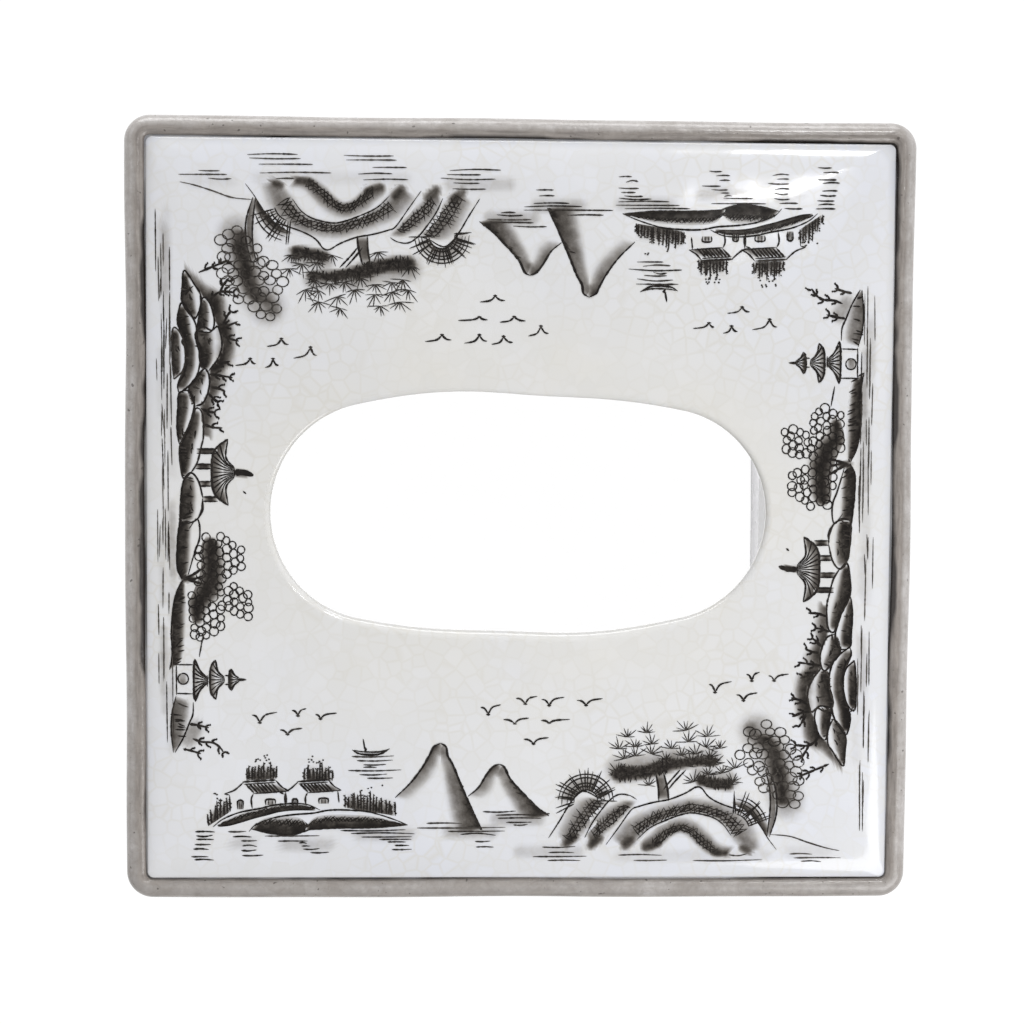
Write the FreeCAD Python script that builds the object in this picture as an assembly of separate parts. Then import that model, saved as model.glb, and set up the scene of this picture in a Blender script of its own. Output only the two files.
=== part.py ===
import FreeCAD, Part
import math
import os

from FreeCAD import Vector

# Square ceramic tissue box cover, slab built: five pillowed slabs framed by rounded bead strips.
# Millimetres, +Z up through the slot, open base on the table at z = 0, centred on the Z axis.

os.makedirs("parts", exist_ok=True)

# Overall size, measured over the beads
cover_width = 150.0
cover_height = 140.0

# Slabs: the walls and the top, thinned along every edge by a rebate that holds the beads
slab_thickness = 6.0
rebate_width = 2.3

# Groove that parts the face of each slab from its beads
groove_depth = 0.7
groove_width = 0.5

# Bead strips along every edge of the box
bead_crest_width = 0.3
bead_edge_radius = 0.7
bead_corner_softness = 1.6

# Pillow on the outside of each slab
crown_rise = 1.8
crown_roll = 11.0
crown_foot_corner = 2.5
crown_flat_corner = 12.0
crown_step_shares = (0.0, 0.03, 0.12, 0.28, 0.54, 1.0)

# Base strips: bead outside, flat foot below, locating lip inside
base_height = 6.5
base_foot_radius = 2.5
base_lip_height = 2.0
base_lip_width = 1.6

# Oval slot for the tissues: round ends, long sides that swell past them, rounded lip
slot_length = 93.8
slot_width = 45.6
slot_side_swell = 2.7
slot_top_round = 2.4
slot_under_round = 1.4
lip_steps = 4

# Coils pressed into the inside corners
coil_leg = 5.0
coil_tip = 0.8

# Room between a strip or slab and its seat: luted joints fire shut, so none
joint_clearance = 0.0

# How far cutting bodies run past what they cut
overrun = 5.0

# Bead section: it fills the rebate and stands proud of the slab by the depth of the groove
bead_size = slab_thickness - rebate_width + groove_depth
bead_nose_radius = bead_size - bead_edge_radius - bead_crest_width
bead_corner_radius = bead_nose_radius + bead_corner_softness

# Planes, as distances from the Z axis or heights above the table
half_width = cover_width / 2
seam_reach = half_width - bead_size
slab_face_reach = half_width - groove_depth
inner_reach = slab_face_reach - slab_thickness
lip_reach = inner_reach + base_lip_width
crown_reach = seam_reach - groove_width
seam_height = cover_height - bead_size
slab_face_height = cover_height - groove_depth
slab_under_height = slab_face_height - slab_thickness
top_face_height = slab_face_height + crown_rise
lip_height = base_height + base_lip_height
wall_crown_foot = base_height + groove_width
wall_crown_head = seam_height - groove_width

quarter_turn = 90.0
sides = ("front", "right", "back", "left")
corners = ("front_right", "back_right", "back_left", "front_left")

axis_x = Vector(1, 0, 0)
axis_y = Vector(0, 1, 0)
axis_z = Vector(0, 0, 1)
origin = Vector(0, 0, 0)


def block(low, high):
    """Box between two opposite corner points."""
    size = high - low
    return Part.makeBox(size.x, size.y, size.z, low)


def square_block(reach, bottom, top):
    """Upright block, square in plan, centred on the Z axis."""
    return block(Vector(-reach, -reach, bottom), Vector(reach, reach, top))


def upright_prism(points, bottom, top):
    """Upright prism over a closed plan outline given as (x, y) pairs."""
    corners_3d = [Vector(x, y, bottom) for x, y in points]
    face = Part.Face(Part.makePolygon(corners_3d + corners_3d[:1]))
    return face.extrude(axis_z * (top - bottom))


def rounded_rectangle(half_x, half_y, radius, height):
    """Closed wire of four lines and four quarter arcs, level at the given height."""
    span = math.sqrt(2) / 2 * radius
    edges = []
    last = Vector(half_x, radius - half_y, height)
    for sign_x, sign_y in ((1, 1), (-1, 1), (-1, -1), (1, -1)):
        middle = Vector(sign_x * (half_x - radius), sign_y * (half_y - radius), height)
        along_x = middle + Vector(sign_x * radius, 0, 0)
        along_y = middle + Vector(0, sign_y * radius, 0)
        start, end = (along_x, along_y) if sign_x * sign_y > 0 else (along_y, along_x)
        bulge = middle + Vector(sign_x * span, sign_y * span, 0)
        edges.append(Part.makeLine(last, start))
        edges.append(Part.Arc(start, bulge, end).toShape())
        last = end
    return Part.Wire(edges)


def crown(half_x, half_y):
    """Pillow standing on the XY plane: steep at its foot, level on top."""
    outlines = []
    for share in crown_step_shares:
        inset = crown_roll * share
        rise = crown_rise * math.sqrt(1 - (1 - share) ** 2)
        radius = crown_foot_corner + (crown_flat_corner - crown_foot_corner) * share
        outlines.append(rounded_rectangle(half_x - inset, half_y - inset, radius, rise))
    return Part.makeLoft(outlines, True, True)


def slot_outline(offset, height):
    """Oval of four tangent arcs, widened all round by the offset."""
    end_radius = slot_width / 2 - slot_side_swell + offset
    half_length = slot_length / 2 + offset
    half_slot = slot_width / 2 + offset
    end_middle = half_length - end_radius
    side_radius = (end_middle ** 2 + half_slot ** 2 - end_radius ** 2) / (2 * (half_slot - end_radius))
    blend_share = end_radius / (side_radius - end_radius)
    blend_x = end_middle * (1 + blend_share)
    blend_y = (side_radius - half_slot) * blend_share
    points = [
        Vector(blend_x, blend_y, height),
        Vector(0, half_slot, height),
        Vector(-blend_x, blend_y, height),
        Vector(-half_length, 0, height),
        Vector(-blend_x, -blend_y, height),
        Vector(0, -half_slot, height),
        Vector(blend_x, -blend_y, height),
        Vector(half_length, 0, height),
    ]
    arcs = []
    for first in range(0, len(points), 2):
        ends = points[first], points[first - len(points) + 2]
        arcs.append(Part.Arc(ends[0], points[first + 1], ends[1]).toShape())
    return Part.Wire(arcs)


def cove(length):
    """Coil lying along +X with its square corner on the X axis and its legs along +Y and -Z."""
    strip = block(Vector(0, 0, -coil_leg), Vector(length, coil_leg, 0))
    hollow = Part.makeCylinder(coil_leg - coil_tip, length, Vector(0, coil_leg, -coil_leg), axis_x)
    return strip.cut(hollow)


def level_at(edge, height):
    """True where an edge lies level at the given height."""
    box = edge.BoundBox
    return abs(box.ZMin - height) < bead_edge_radius / 2 and box.ZLength < bead_edge_radius / 2


def reach(edge):
    """Distance of an edge's middle from the Z axis, square in plan."""
    return max(abs(edge.CenterOfMass.x), abs(edge.CenterOfMass.y))


def turned(shape, number):
    """Copy of a front shape turned about the Z axis onto another side."""
    copy = shape.copy()
    copy.rotate(origin, axis_z, quarter_turn * number)
    return copy


def rounded_bar(low, high, rounded):
    """Bar along X whose long edges through the given (y, z) points are rounded as bead edges."""
    bar = block(low, high)
    middles = [Vector(0, y, z) for y, z in rounded]
    edges = [
        edge
        for edge in bar.Edges
        if any(edge.CenterOfMass.isEqual(middle, bead_edge_radius) for middle in middles)
    ]
    return bar.makeFillet(bead_edge_radius, edges)


def save(shape, node):
    """One node, one closed solid, one file."""
    solid = shape.removeSplitter().Solids[0]
    solid.exportStep("parts/" + node + ".step")


# Envelope shared by all bead strips, so that they meet flush round the corners
plan = Part.Face(rounded_rectangle(half_width, half_width, bead_corner_radius, 0))
envelope = plan.extrude(axis_z * cover_height)
crest_edges = [edge for edge in envelope.Edges if level_at(edge, cover_height)]
envelope = envelope.makeFillet(bead_nose_radius, crest_edges)
foot_edges = [edge for edge in envelope.Edges if level_at(edge, 0)]
envelope = envelope.makeFillet(base_foot_radius, foot_edges)

# Region of the front side between the two mitre planes through its corners
far = half_width + overrun
front_wedge = upright_prism(((0, 0), (-far, -far), (far, -far)), -overrun, cover_height + overrun)

# Top bead: mitred strip that covers a wall top and frames one edge of the top slab
top_bead = rounded_bar(
    Vector(-half_width, -half_width, seam_height),
    Vector(half_width, -seam_reach, cover_height),
    ((-half_width, seam_height), (-seam_reach, cover_height)),
)
top_bead = envelope.common(top_bead).common(front_wedge)

# Base bead: mitred strip with the flat foot and the lip that locates a wall
base_bead = rounded_bar(
    Vector(-half_width, -half_width, 0),
    Vector(half_width, -inner_reach, base_height),
    ((-half_width, base_height),),
)
lip_low = Vector(-half_width, joint_clearance - lip_reach, 0)
lip_high = Vector(half_width, -inner_reach, lip_height)
base_bead = base_bead.fuse(block(lip_low, lip_high))
base_bead = envelope.common(base_bead).common(front_wedge)

# Corner bead: upright strip between the base bead and the top bead
corner_low = Vector(seam_reach, -half_width, base_height)
corner_high = Vector(half_width, -seam_reach, seam_height)
corner_bead = envelope.common(block(corner_low, corner_high))
groove_edges = [
    edge
    for edge in corner_bead.Edges
    if edge.BoundBox.ZLength > cover_height / 2 and reach(edge) > seam_reach + bead_edge_radius
]
corner_bead = corner_bead.makeFillet(bead_edge_radius, groove_edges)

# Wall slab: mitred at the inside corners, rebated for the top slab, the lip and the corner beads
seat = seam_reach - joint_clearance
wall_plan = (
    (-inner_reach, -inner_reach),
    (-seat, -seat),
    (-seat, -slab_face_reach),
    (seat, -slab_face_reach),
    (seat, -seat),
    (inner_reach, -inner_reach),
)
wall = upright_prism(wall_plan, base_height, seam_height)
wall = wall.cut(square_block(seam_reach, slab_under_height, seam_height + overrun))
wall = wall.cut(square_block(lip_reach, base_height - overrun, lip_height))
wall_crown = crown(crown_reach, (wall_crown_head - wall_crown_foot) / 2)
wall_crown.rotate(origin, axis_x, quarter_turn)
wall_crown.translate(Vector(0, -slab_face_reach, (wall_crown_head + wall_crown_foot) / 2))
wall = wall.fuse(wall_crown)

# Top slab: sits in the rebate of the walls, inside the top beads, with the slot through it
top_panel = square_block(seat, slab_under_height, slab_face_height)
top_crown = crown(crown_reach, crown_reach)
top_crown.translate(axis_z * slab_face_height)
top_panel = top_panel.fuse(top_crown)

lip_turns = [math.radians(quarter_turn) * step / lip_steps for step in range(lip_steps + 1)]
slot_outlines = [slot_outline(slot_under_round, slab_under_height - overrun)]
for turn in reversed(lip_turns):
    level = slab_under_height + slot_under_round * (1 - math.sin(turn))
    slot_outlines.append(slot_outline(slot_under_round * (1 - math.cos(turn)), level))
for turn in lip_turns:
    level = top_face_height - slot_top_round * (1 - math.sin(turn))
    slot_outlines.append(slot_outline(slot_top_round * (1 - math.cos(turn)), level))
slot_outlines.append(slot_outline(slot_top_round, top_face_height + overrun))
top_panel = top_panel.cut(Part.makeLoft(slot_outlines, True, True))

# Seam coils: cove section pressed into the upright corners and under the top slab
top_coil = cove(2 * inner_reach)
top_coil.translate(Vector(-inner_reach, -inner_reach, slab_under_height))
top_coil = top_coil.common(front_wedge)

corner_coil = cove(slab_under_height - lip_height)
corner_coil.rotate(origin, axis_y, quarter_turn)
corner_coil.translate(Vector(inner_reach, -inner_reach, slab_under_height))
for number in (0, 1):
    corner_coil = corner_coil.cut(turned(top_coil, number))

# One file for each piece
save(top_panel, "top_panel")
for number, side in enumerate(sides):
    save(turned(wall, number), side + "_wall")
    save(turned(top_bead, number), "top_bead_" + side)
    save(turned(base_bead, number), "base_bead_" + side)
    save(turned(top_coil, number), "top_coil_" + side)
for number, corner in enumerate(corners):
    save(turned(corner_bead, number), "corner_bead_" + corner)
    save(turned(corner_coil, number), "corner_coil_" + corner)
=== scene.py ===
"""Looks of the tissue box cover: glazed slabs in a grey bead frame, painted with brush landscapes."""
import math
import bpy
import numpy as np
from mathutils import Matrix, Vector


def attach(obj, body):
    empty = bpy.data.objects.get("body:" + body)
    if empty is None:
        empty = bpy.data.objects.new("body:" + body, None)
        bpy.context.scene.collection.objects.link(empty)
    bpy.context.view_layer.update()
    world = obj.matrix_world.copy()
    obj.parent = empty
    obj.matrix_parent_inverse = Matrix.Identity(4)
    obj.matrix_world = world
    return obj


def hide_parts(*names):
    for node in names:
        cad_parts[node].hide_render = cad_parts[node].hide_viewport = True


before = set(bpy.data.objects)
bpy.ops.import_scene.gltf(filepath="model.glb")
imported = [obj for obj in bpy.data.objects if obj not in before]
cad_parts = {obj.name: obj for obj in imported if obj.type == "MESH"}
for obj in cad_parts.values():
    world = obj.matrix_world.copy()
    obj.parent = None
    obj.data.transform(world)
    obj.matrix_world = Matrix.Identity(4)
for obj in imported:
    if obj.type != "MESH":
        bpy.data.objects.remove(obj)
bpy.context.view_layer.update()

# Sizes of the solids, in millimetres
mm = 0.001
half_width = 75.0
cover_height = 140.0
seam_reach = 71.0
slab_face_reach = 74.3
inner_reach = 68.3
lip_reach = 69.9
crown_reach = 70.75
slab_face_height = 139.3
slab_under_height = 133.3
seam_height = 136.0
base_height = 6.5
base_lip_top = 8.5
foot_radius = 2.5
wall_crown_foot = 6.8
wall_crown_head = 135.75
wall_middle = (wall_crown_foot + wall_crown_head) / 2
wall_half_height = (wall_crown_head - wall_crown_foot) / 2
crown_rise = 1.8
crown_roll = 11.0
foot_corner = 1.2
flat_corner = 12.0
nose_radius = 3.4
corner_softness = 1.6
bead_round = 2.6
bead_fall = 1.1
corner_run = 1.2
pool_width = 2.6
slot_half_length = 46.9
slot_half_width = 22.8
slot_end_radius = 20.1
slot_side_radius = 154.0
slot_lip_far = 0.6
slot_lip_near = 1.7
slot_under_round = 1.4
slot_undercut = 1.3
top_seam_rows = ((seam_reach + 0.9, 0.5), (seam_reach + 0.1, 0.2), (crown_reach, 0.12))
wall_seam_rows = ((0.12, 0.0), (0.2, 0.6), (0.5, 1.4))
wall_back_growth = -1.2
hidden_tuck = 0.6
hidden_inset = 0.3

# Hand-made unevenness
glaze_wave = 0.10
bead_wave = 0.22
foot_flare = 0.9
depth_share = 0.9915
slot_growth = 0.225
slot_shift = -0.35
slot_drop = -0.19
slot_skew = -0.27
slot_shoulder = 0.09
slot_square = -0.26
slot_twist = 0.16

# Tones: painted light and shade on the beads, painted shade on the rim, dark grooves, warm glaze,
# see-through ink
# Painted light and shade on the beads: paler inner half at the front and back, darker outer half at the
# front
painted_light_front = 0.62
painted_light_back = 0.24
painted_shade_front = 0.45
# Painted shade on the top's rolled edge: how far up the roll it reaches, and its strength at the back and
# right
painted_shade_span = 0.17
painted_shade_back = 0.5
painted_shade_right = 0.42
groove_share = 0.006
wall_cream = 0.35
cream_level = 1.45
cream_reach = (58, 40)
side_focus = 6
ink_clearness = 0.014

# Mesh density and the layers of brushwork
side_steps = 176
arc_steps = 22
wall_steps = 150
crown_foot_rows = (0.0008, 0.003)
crown_rows = 27
flat_rows = 57
roll_steps = 20
roll_crowding = 1.9
corner_rows = 40
crown_halvings = 26
slot_halvings = 30
shade_rows = 6
shade_step = 0.45
shade_lift = 0.015
ink_step = 0.45
ink_lift = 0.06
ink_layer = 0.02
even_ends = (0.05, 0.05)
stroke_tip = 0.25
stroke_shake = 0.16
stroke_mood = 0.08
thin_tone = 0.75
wash_softness = 0.85

# Seeds of the random draws
top_seed = 5
wall_seed = 6
page_seed = 40
top_bead_seed = 21
base_bead_seed = 23
corner_seed = 30


def rgb(red, green, blue):
    """A colour given in display values, as linear light."""
    linear = []
    for value in (red, green, blue):
        share = value / 255
        linear.append(share / 12.92 if share <= 0.04045 else ((share + 0.055) / 1.055) ** 2.4)
    return (*linear, 1.0)


def wave(a, b, seed):
    """Slow unevenness of a hand-built surface, between about -1 and 1."""
    turn = np.random.default_rng(seed).uniform(0, 2 * math.pi, 6)
    swell = np.sin(a / 17 + turn[0]) * np.cos(b / 23 + turn[1])
    swell = swell + 0.6 * np.sin(b / 13 + turn[2]) * np.cos(a / 31 + turn[3])
    return (swell + 0.4 * np.sin((a + b) / 9 + turn[4])) / 1.7


# Shapes


def quarter(count):
    """Angles through a quarter turn."""
    return np.linspace(0, math.pi / 2, count)


def loop(half_x, half_y, radius):
    """Points round a rounded rectangle, the same count whatever its size."""
    points = []
    run = np.arange(side_steps) / side_steps
    bend = np.arange(arc_steps) / arc_steps * math.pi / 2
    corners = ((1, -1), (1, 1), (-1, 1), (-1, -1))
    for side in range(4):
        before = corners[side - 1]
        after = corners[side]
        middle = np.array([after[0] * (half_x - radius), after[1] * (half_y - radius)])
        last = np.array([before[0] * (half_x - radius), before[1] * (half_y - radius)])
        angle = (side - 1) * math.pi / 2
        outward = np.array([math.cos(angle), math.sin(angle)]) * radius
        points.append(last + outward + run[:, None] * (middle - last))
        spread = np.stack([np.cos(angle + bend), np.sin(angle + bend)], axis=1)
        points.append(middle + spread * radius)
    return np.concatenate(points)


def crown_share(x, y, half_x, half_y):
    """How far up the rolled edge of a pillow a point lies: 0 at its foot, 1 on the flat."""
    low = np.zeros_like(x)
    high = np.ones_like(x)
    for _ in range(crown_halvings):
        share = (low + high) / 2
        radius = foot_corner + (flat_corner - foot_corner) * share
        over_x = np.abs(x) - (half_x - crown_roll * share - radius)
        over_y = np.abs(y) - (half_y - crown_roll * share - radius)
        past = np.hypot(np.maximum(over_x, 0), np.maximum(over_y, 0))
        past = past + np.minimum(np.maximum(over_x, over_y), 0) - radius
        inside = past <= 0
        low = np.where(inside, share, low)
        high = np.where(inside, high, share)
    return low


def pillow(x, y, half_x, half_y, seed):
    """Height of a pillowed face above the plane of its foot."""
    share = crown_share(x, y, half_x, half_y)
    rise = crown_rise * np.sqrt(np.maximum(1 - (1 - share) ** 2, 0))
    return rise + glaze_wave * share * wave(x, y, seed)


def slot_curve(angles, offset):
    """Slot edge at the given angles from the middle, moved outwards by offset."""
    end_middle = slot_half_length - slot_end_radius
    side_middle = slot_half_width - slot_side_radius
    shift = slot_growth + slot_shift * np.cos(angles) + slot_drop * np.sin(angles)
    shift = shift + slot_shoulder * np.cos(2 * angles) + slot_skew * np.sin(2 * angles)
    shift = shift + slot_square * np.cos(4 * angles) + slot_twist * np.sin(4 * angles)
    low = np.zeros_like(angles)
    high = np.full_like(angles, slot_half_length * 2)
    for _ in range(slot_halvings):
        reach = (low + high) / 2
        x = np.abs(reach * np.cos(angles))
        y = np.abs(reach * np.sin(angles))
        at_end = -side_middle * x > end_middle * (y - side_middle)
        past_end = np.hypot(x - end_middle, y) - slot_end_radius
        past_side = np.hypot(x, y - side_middle) - slot_side_radius
        within = np.where(at_end, past_end, past_side) <= offset + shift
        low = np.where(within, reach, low)
        high = np.where(within, high, reach)
    return np.stack([low * np.cos(angles), low * np.sin(angles)], axis=1)


def piece(name, points, faces, slot, *replaced):
    """A smooth mesh piece in millimetres that stands for solids of the frame."""
    mesh = bpy.data.meshes.new(name)
    spots = np.asarray(points) * (mm, mm * depth_share, mm)
    mesh.from_pydata([tuple(spot) for spot in spots.tolist()], [], faces)
    mesh.update()
    mesh.shade_smooth()
    thing = bpy.data.objects.new(name, mesh)
    bpy.context.scene.collection.objects.link(thing)
    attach(thing, "root")
    if replaced:
        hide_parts(*replaced)
    return thing


def tag(thing, name, values):
    """A number for each vertex, read by the material."""
    store = thing.data.attributes.new(name, "FLOAT", "POINT")
    store.data.foreach_set("value", np.asarray(values, dtype=np.float32))


def ring_faces(rings, count, closed):
    """Quads between rings of equally many points."""
    faces = []
    last = rings if closed else rings - 1
    for ring in range(last):
        here = ring * count
        there = (ring + 1) % rings * count
        for step in range(count):
            after = (step + 1) % count
            faces.append((here + step, here + after, there + after, there + step))
    return faces


def grid_faces(rows, columns, start=0):
    """Quads of a grid of points that lie row by row."""
    faces = []
    for row in range(rows - 1):
        for column in range(columns - 1):
            here = start + row * columns + column
            faces.append((here, here + 1, here + columns + 1, here + columns))
    return faces


class Face:
    """One outer face of the cover: where a point of its painted page lies in space."""

    def __init__(self, name, origin, right, up, half_x, half_y, seed):
        self.name = name
        self.origin = np.array(origin)
        self.right = np.array(right)
        self.up = np.array(up)
        self.out = np.cross(self.right, self.up)
        self.half_x = half_x
        self.half_y = half_y
        self.seed = seed

    def height(self, x, y):
        """Height of the glaze above the foot of the pillow."""
        return pillow(x, y, self.half_x, self.half_y, self.seed)

    def cream(self, flat):
        """How warm the glaze is, most round the slot."""
        if self.name != "top":
            return np.full(len(flat), wall_cream)
        return np.clip(cream_level - np.hypot(*(flat / cream_reach).T), 0, 1)

    def at(self, x, y, lift):
        """Points in space for points of the page."""
        x, y, lift = np.broadcast_arrays(x, y, lift)
        spread = x[:, None] * self.right + y[:, None] * self.up + lift[:, None] * self.out
        return self.origin + spread

    def layer(self, name, flat, lift, faces):
        """A thin piece of brushwork that lies on this face."""
        x, y = flat[:, 0], flat[:, 1]
        spots = self.at(x, y, self.height(x, y) + np.concatenate(lift))
        return piece(self.name + name, spots, faces, "crackle_glaze")


def build_top(face, page):
    """Top slab: rolled edge, flat, rounded slot lip and underside, as one closed skin."""
    rings = []
    for reach, drop in top_seam_rows:
        rings.append((loop(reach, reach, foot_corner), -drop, False))
    crown = np.append(crown_foot_rows, np.linspace(0.0, 1.0, crown_rows)[1:] ** roll_crowding)
    for share in crown:
        reach = crown_reach - crown_roll * share
        radius = foot_corner + (flat_corner - foot_corner) * share
        rings.append((loop(reach, reach, radius), 0.0, True))
    outline = rings[-1][0]
    angles = np.arctan2(outline[:, 1], outline[:, 0])
    near = (1 - np.sin(angles)) / 2
    lip_round = slot_lip_far + (slot_lip_near - slot_lip_far) * near
    lip = slot_curve(angles, lip_round)
    for share in np.linspace(0, 1, flat_rows)[1:]:
        rings.append((outline + (lip - outline) * share, 0.0, True))
    painted_rings = len(rings)
    for turn in quarter(9)[1:]:
        inset = lip_round * (1 - math.sin(turn))
        rings.append((slot_curve(angles, inset), -lip_round * (1 - math.cos(turn)), True))
    thickness = slab_face_height - slab_under_height
    for turn in quarter(5):
        inset = slot_undercut + slot_under_round * (1 - math.cos(turn))
        level = -thickness + slot_under_round * (1 - math.sin(turn))
        rings.append((slot_curve(angles, inset), level, False))
    under = loop(inner_reach + hidden_tuck, inner_reach + hidden_tuck, foot_corner)
    inner = slot_curve(angles, slot_undercut + slot_under_round)
    for share in (0.05, 0.3, 0.65, 1.0):
        rings.append((inner + (under - inner) * share, -thickness, False))
    points = []
    for ring, level, on_pillow in rings:
        x, y = ring[:, 0], ring[:, 1]
        points.append(face.at(x, y, level + face.height(x, y) * on_pillow))
    flat = np.concatenate([ring for ring, level, on_pillow in rings])
    count = len(outline)

    def on_rings(first, middle):
        """A number for each vertex, from those of the first rings and the next ones, 0 on the rest."""
        numbers = np.zeros(len(rings))
        numbers[:len(first)] = first
        numbers[len(first):len(first) + len(middle)] = middle
        return np.repeat(numbers, count)
    faces = ring_faces(len(rings), count, True)
    slab = piece("top_panel_skin", np.concatenate(points), faces, "crackle_glaze", "top_panel")
    seam = np.ones(len(top_seam_rows))
    tag(slab, "ink", page.ink(flat) * on_rings(seam * 0, np.ones(painted_rings - len(seam))))
    tag(slab, "edge", on_rings(seam, np.maximum(1 - crown / groove_share, 0)))
    tag(slab, "cream", face.cream(flat))
    # Painted shade: the rolled edge of the top is darkened towards the back and the right side (the rim
    # number)
    toward = np.clip(flat / crown_reach, 0, 1) ** side_focus
    painted_rim_shade = painted_shade_right * toward[:, 0] + painted_shade_back * toward[:, 1]
    tag(slab, "rim", on_rings(seam, np.maximum(1 - crown / painted_shade_span, 0)) * painted_rim_shade)
    return slab


def wall_lines(half):
    """Grid lines across a wall, close together on the rolled edges."""
    roll = half - crown_roll * np.linspace(1, 0, roll_steps) ** roll_crowding
    flat = np.linspace(-half + crown_roll, half - crown_roll, wall_steps - 2 * roll_steps + 2)
    return np.concatenate([-roll[::-1], flat[1:-1], roll])


def build_wall(face, page):
    """Wall slab: pillowed face, hidden edges and flat inside, as one closed skin."""
    across = wall_lines(face.half_x)
    upward = wall_lines(face.half_y)
    x, y = (grid.ravel() for grid in np.meshgrid(across, upward))
    over_x = np.abs(x) - (face.half_x - foot_corner)
    over_y = np.abs(y) - (face.half_y - foot_corner)
    past = np.hypot(over_x, over_y)
    outside = (over_x > 0) & (over_y > 0) & (past > foot_corner)
    pull = np.where(outside, foot_corner / np.maximum(past, foot_corner), 1)
    x = np.where(outside, np.sign(x) * (face.half_x - foot_corner + over_x * pull), x)
    y = np.where(outside, np.sign(y) * (face.half_y - foot_corner + over_y * pull), y)
    points = face.at(x, y, face.height(x, y))
    columns, rows = len(across), len(upward)
    faces = grid_faces(rows, columns)
    rim = list(range(columns - 1))
    rim += [row * columns + columns - 1 for row in range(rows - 1)]
    rim += [(rows - 1) * columns + column for column in range(columns - 1, 0, -1)]
    rim += [row * columns for row in range(rows - 1, 0, -1)]
    flat = np.stack([x, y], axis=1)
    outline = flat[rim]
    skirt = [points]
    start = len(points)
    thickness = slab_face_reach - inner_reach
    steps = (*wall_seam_rows, (thickness, wall_back_growth))
    previous = rim
    for drop, grow in steps:
        stretch = 1 + grow / np.array([face.half_x, face.half_y])
        ring = outline * stretch
        skirt.append(face.at(ring[:, 0], ring[:, 1], np.full(len(rim), -drop)))
        fresh = list(range(start, start + len(rim)))
        for step in range(len(rim)):
            after = (step + 1) % len(rim)
            faces.append((previous[after], previous[step], fresh[step], fresh[after]))
        previous = fresh
        start += len(rim)
    faces.append(tuple(reversed(previous)))
    name = face.name + "_wall"
    slab = piece(name + "_skin", np.concatenate(skirt), faces, "crackle_glaze", name)
    spare = len(steps) * len(rim)
    share = crown_share(x, y, face.half_x, face.half_y)
    tag(slab, "ink", np.concatenate([page.ink(flat), np.zeros(spare)]))
    groove = np.concatenate([np.ones(spare - len(rim)), np.zeros(len(rim))])
    tag(slab, "edge", np.concatenate([np.clip(1 - share / groove_share, 0, 1), groove]))
    tag(slab, "cream", np.append(face.cream(flat), np.full(spare, wall_cream)))
    return slab


def bead_section():
    """Section of a top bead as reach, height and pooling, from the wall groove to the top groove."""
    crest = half_width - bead_round
    level = cover_height - bead_round
    section = [(half_width - bead_fall - hidden_inset, seam_height - hidden_tuck)]
    for turn in quarter(9):
        reach = half_width - bead_fall * (1 - math.sin(turn))
        section.append((reach, level - (level - seam_height) * math.cos(turn)))
    for turn in quarter(13)[1:]:
        section.append((crest + bead_round * math.cos(turn), level + bead_round * math.sin(turn)))
    for turn in quarter(9)[1:]:
        reach = crest - (crest - seam_reach) * math.sin(turn)
        section.append((reach, cover_height - bead_fall * (1 - math.cos(turn))))
    section.append((seam_reach - 0.05, cover_height - bead_fall - hidden_tuck))
    return pooled(section, seam_reach, seam_height)


def pooled(section, first_low, second_low):
    """The points of a section with their pooling: 1 in a groove, 0 a pool width away from it."""
    near = [min(first - first_low, second - second_low) / pool_width for first, second in section]
    share = [1 - min(max(value, 0.0), 1.0) for value in near]
    return [(first, second, part) for (first, second), part in zip(section, share)]


def tag_run(bead, ring, cut, ring_first):
    """Length along a bead and round its section for each vertex, in millimetres."""
    runs = []
    for line in (ring, cut):
        runs.append(np.append(0, np.cumsum(np.hypot(*np.diff(line, axis=0).T))))
    inner, outer = (np.tile, np.repeat) if ring_first else (np.repeat, np.tile)
    tag(bead, "along", inner(runs[0], len(cut)))
    tag(bead, "across", outer(runs[1], len(ring)))


def sweep(name, section, closed, slot, replaced, seed):
    """A bead run round the cover from its section."""
    points = []
    pool = []
    for reach, height, dark in section:
        radius = max(0.6, corner_softness + reach - (half_width - nose_radius))
        outline = loop(reach, reach, radius)
        length = np.hypot(outline[:, 0], outline[:, 1])[:, None]
        sway = wave(outline[:, 0] * 1.4, outline[:, 1] * 1.4, seed)
        outline = outline + outline / length * (bead_wave * sway)[:, None]
        lift = height + 0.5 * bead_wave * wave(outline[:, 1], outline[:, 0], seed + 1)
        lift = np.maximum(lift, 0.0) if height > 0 else np.zeros(len(outline))
        points.append(np.column_stack([outline, lift]))
        # Painted light and shade: the inner half's pooling is lessened at the front and back, and the
        # front's outer half is darkened
        below = np.clip(-outline[:, 1] / reach, 0, 1) ** side_focus
        outer = np.clip((reach - half_width + bead_round) / bead_round, 0, 1)
        above = np.clip(outline[:, 1] / reach, 0, 1) ** side_focus
        pool_after_painted_light = 1 - painted_light_front * below - painted_light_back * above
        pool.append(dark * pool_after_painted_light + painted_shade_front * below * outer)
    faces = ring_faces(len(section), len(points[0]), closed)
    bead = piece(name, np.concatenate(points), faces, slot, *replaced)
    tag(bead, "pool", np.concatenate(pool))
    tag_run(bead, points[len(section) // 2][:, :2], np.array(section)[:, :2], True)
    return bead


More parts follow.
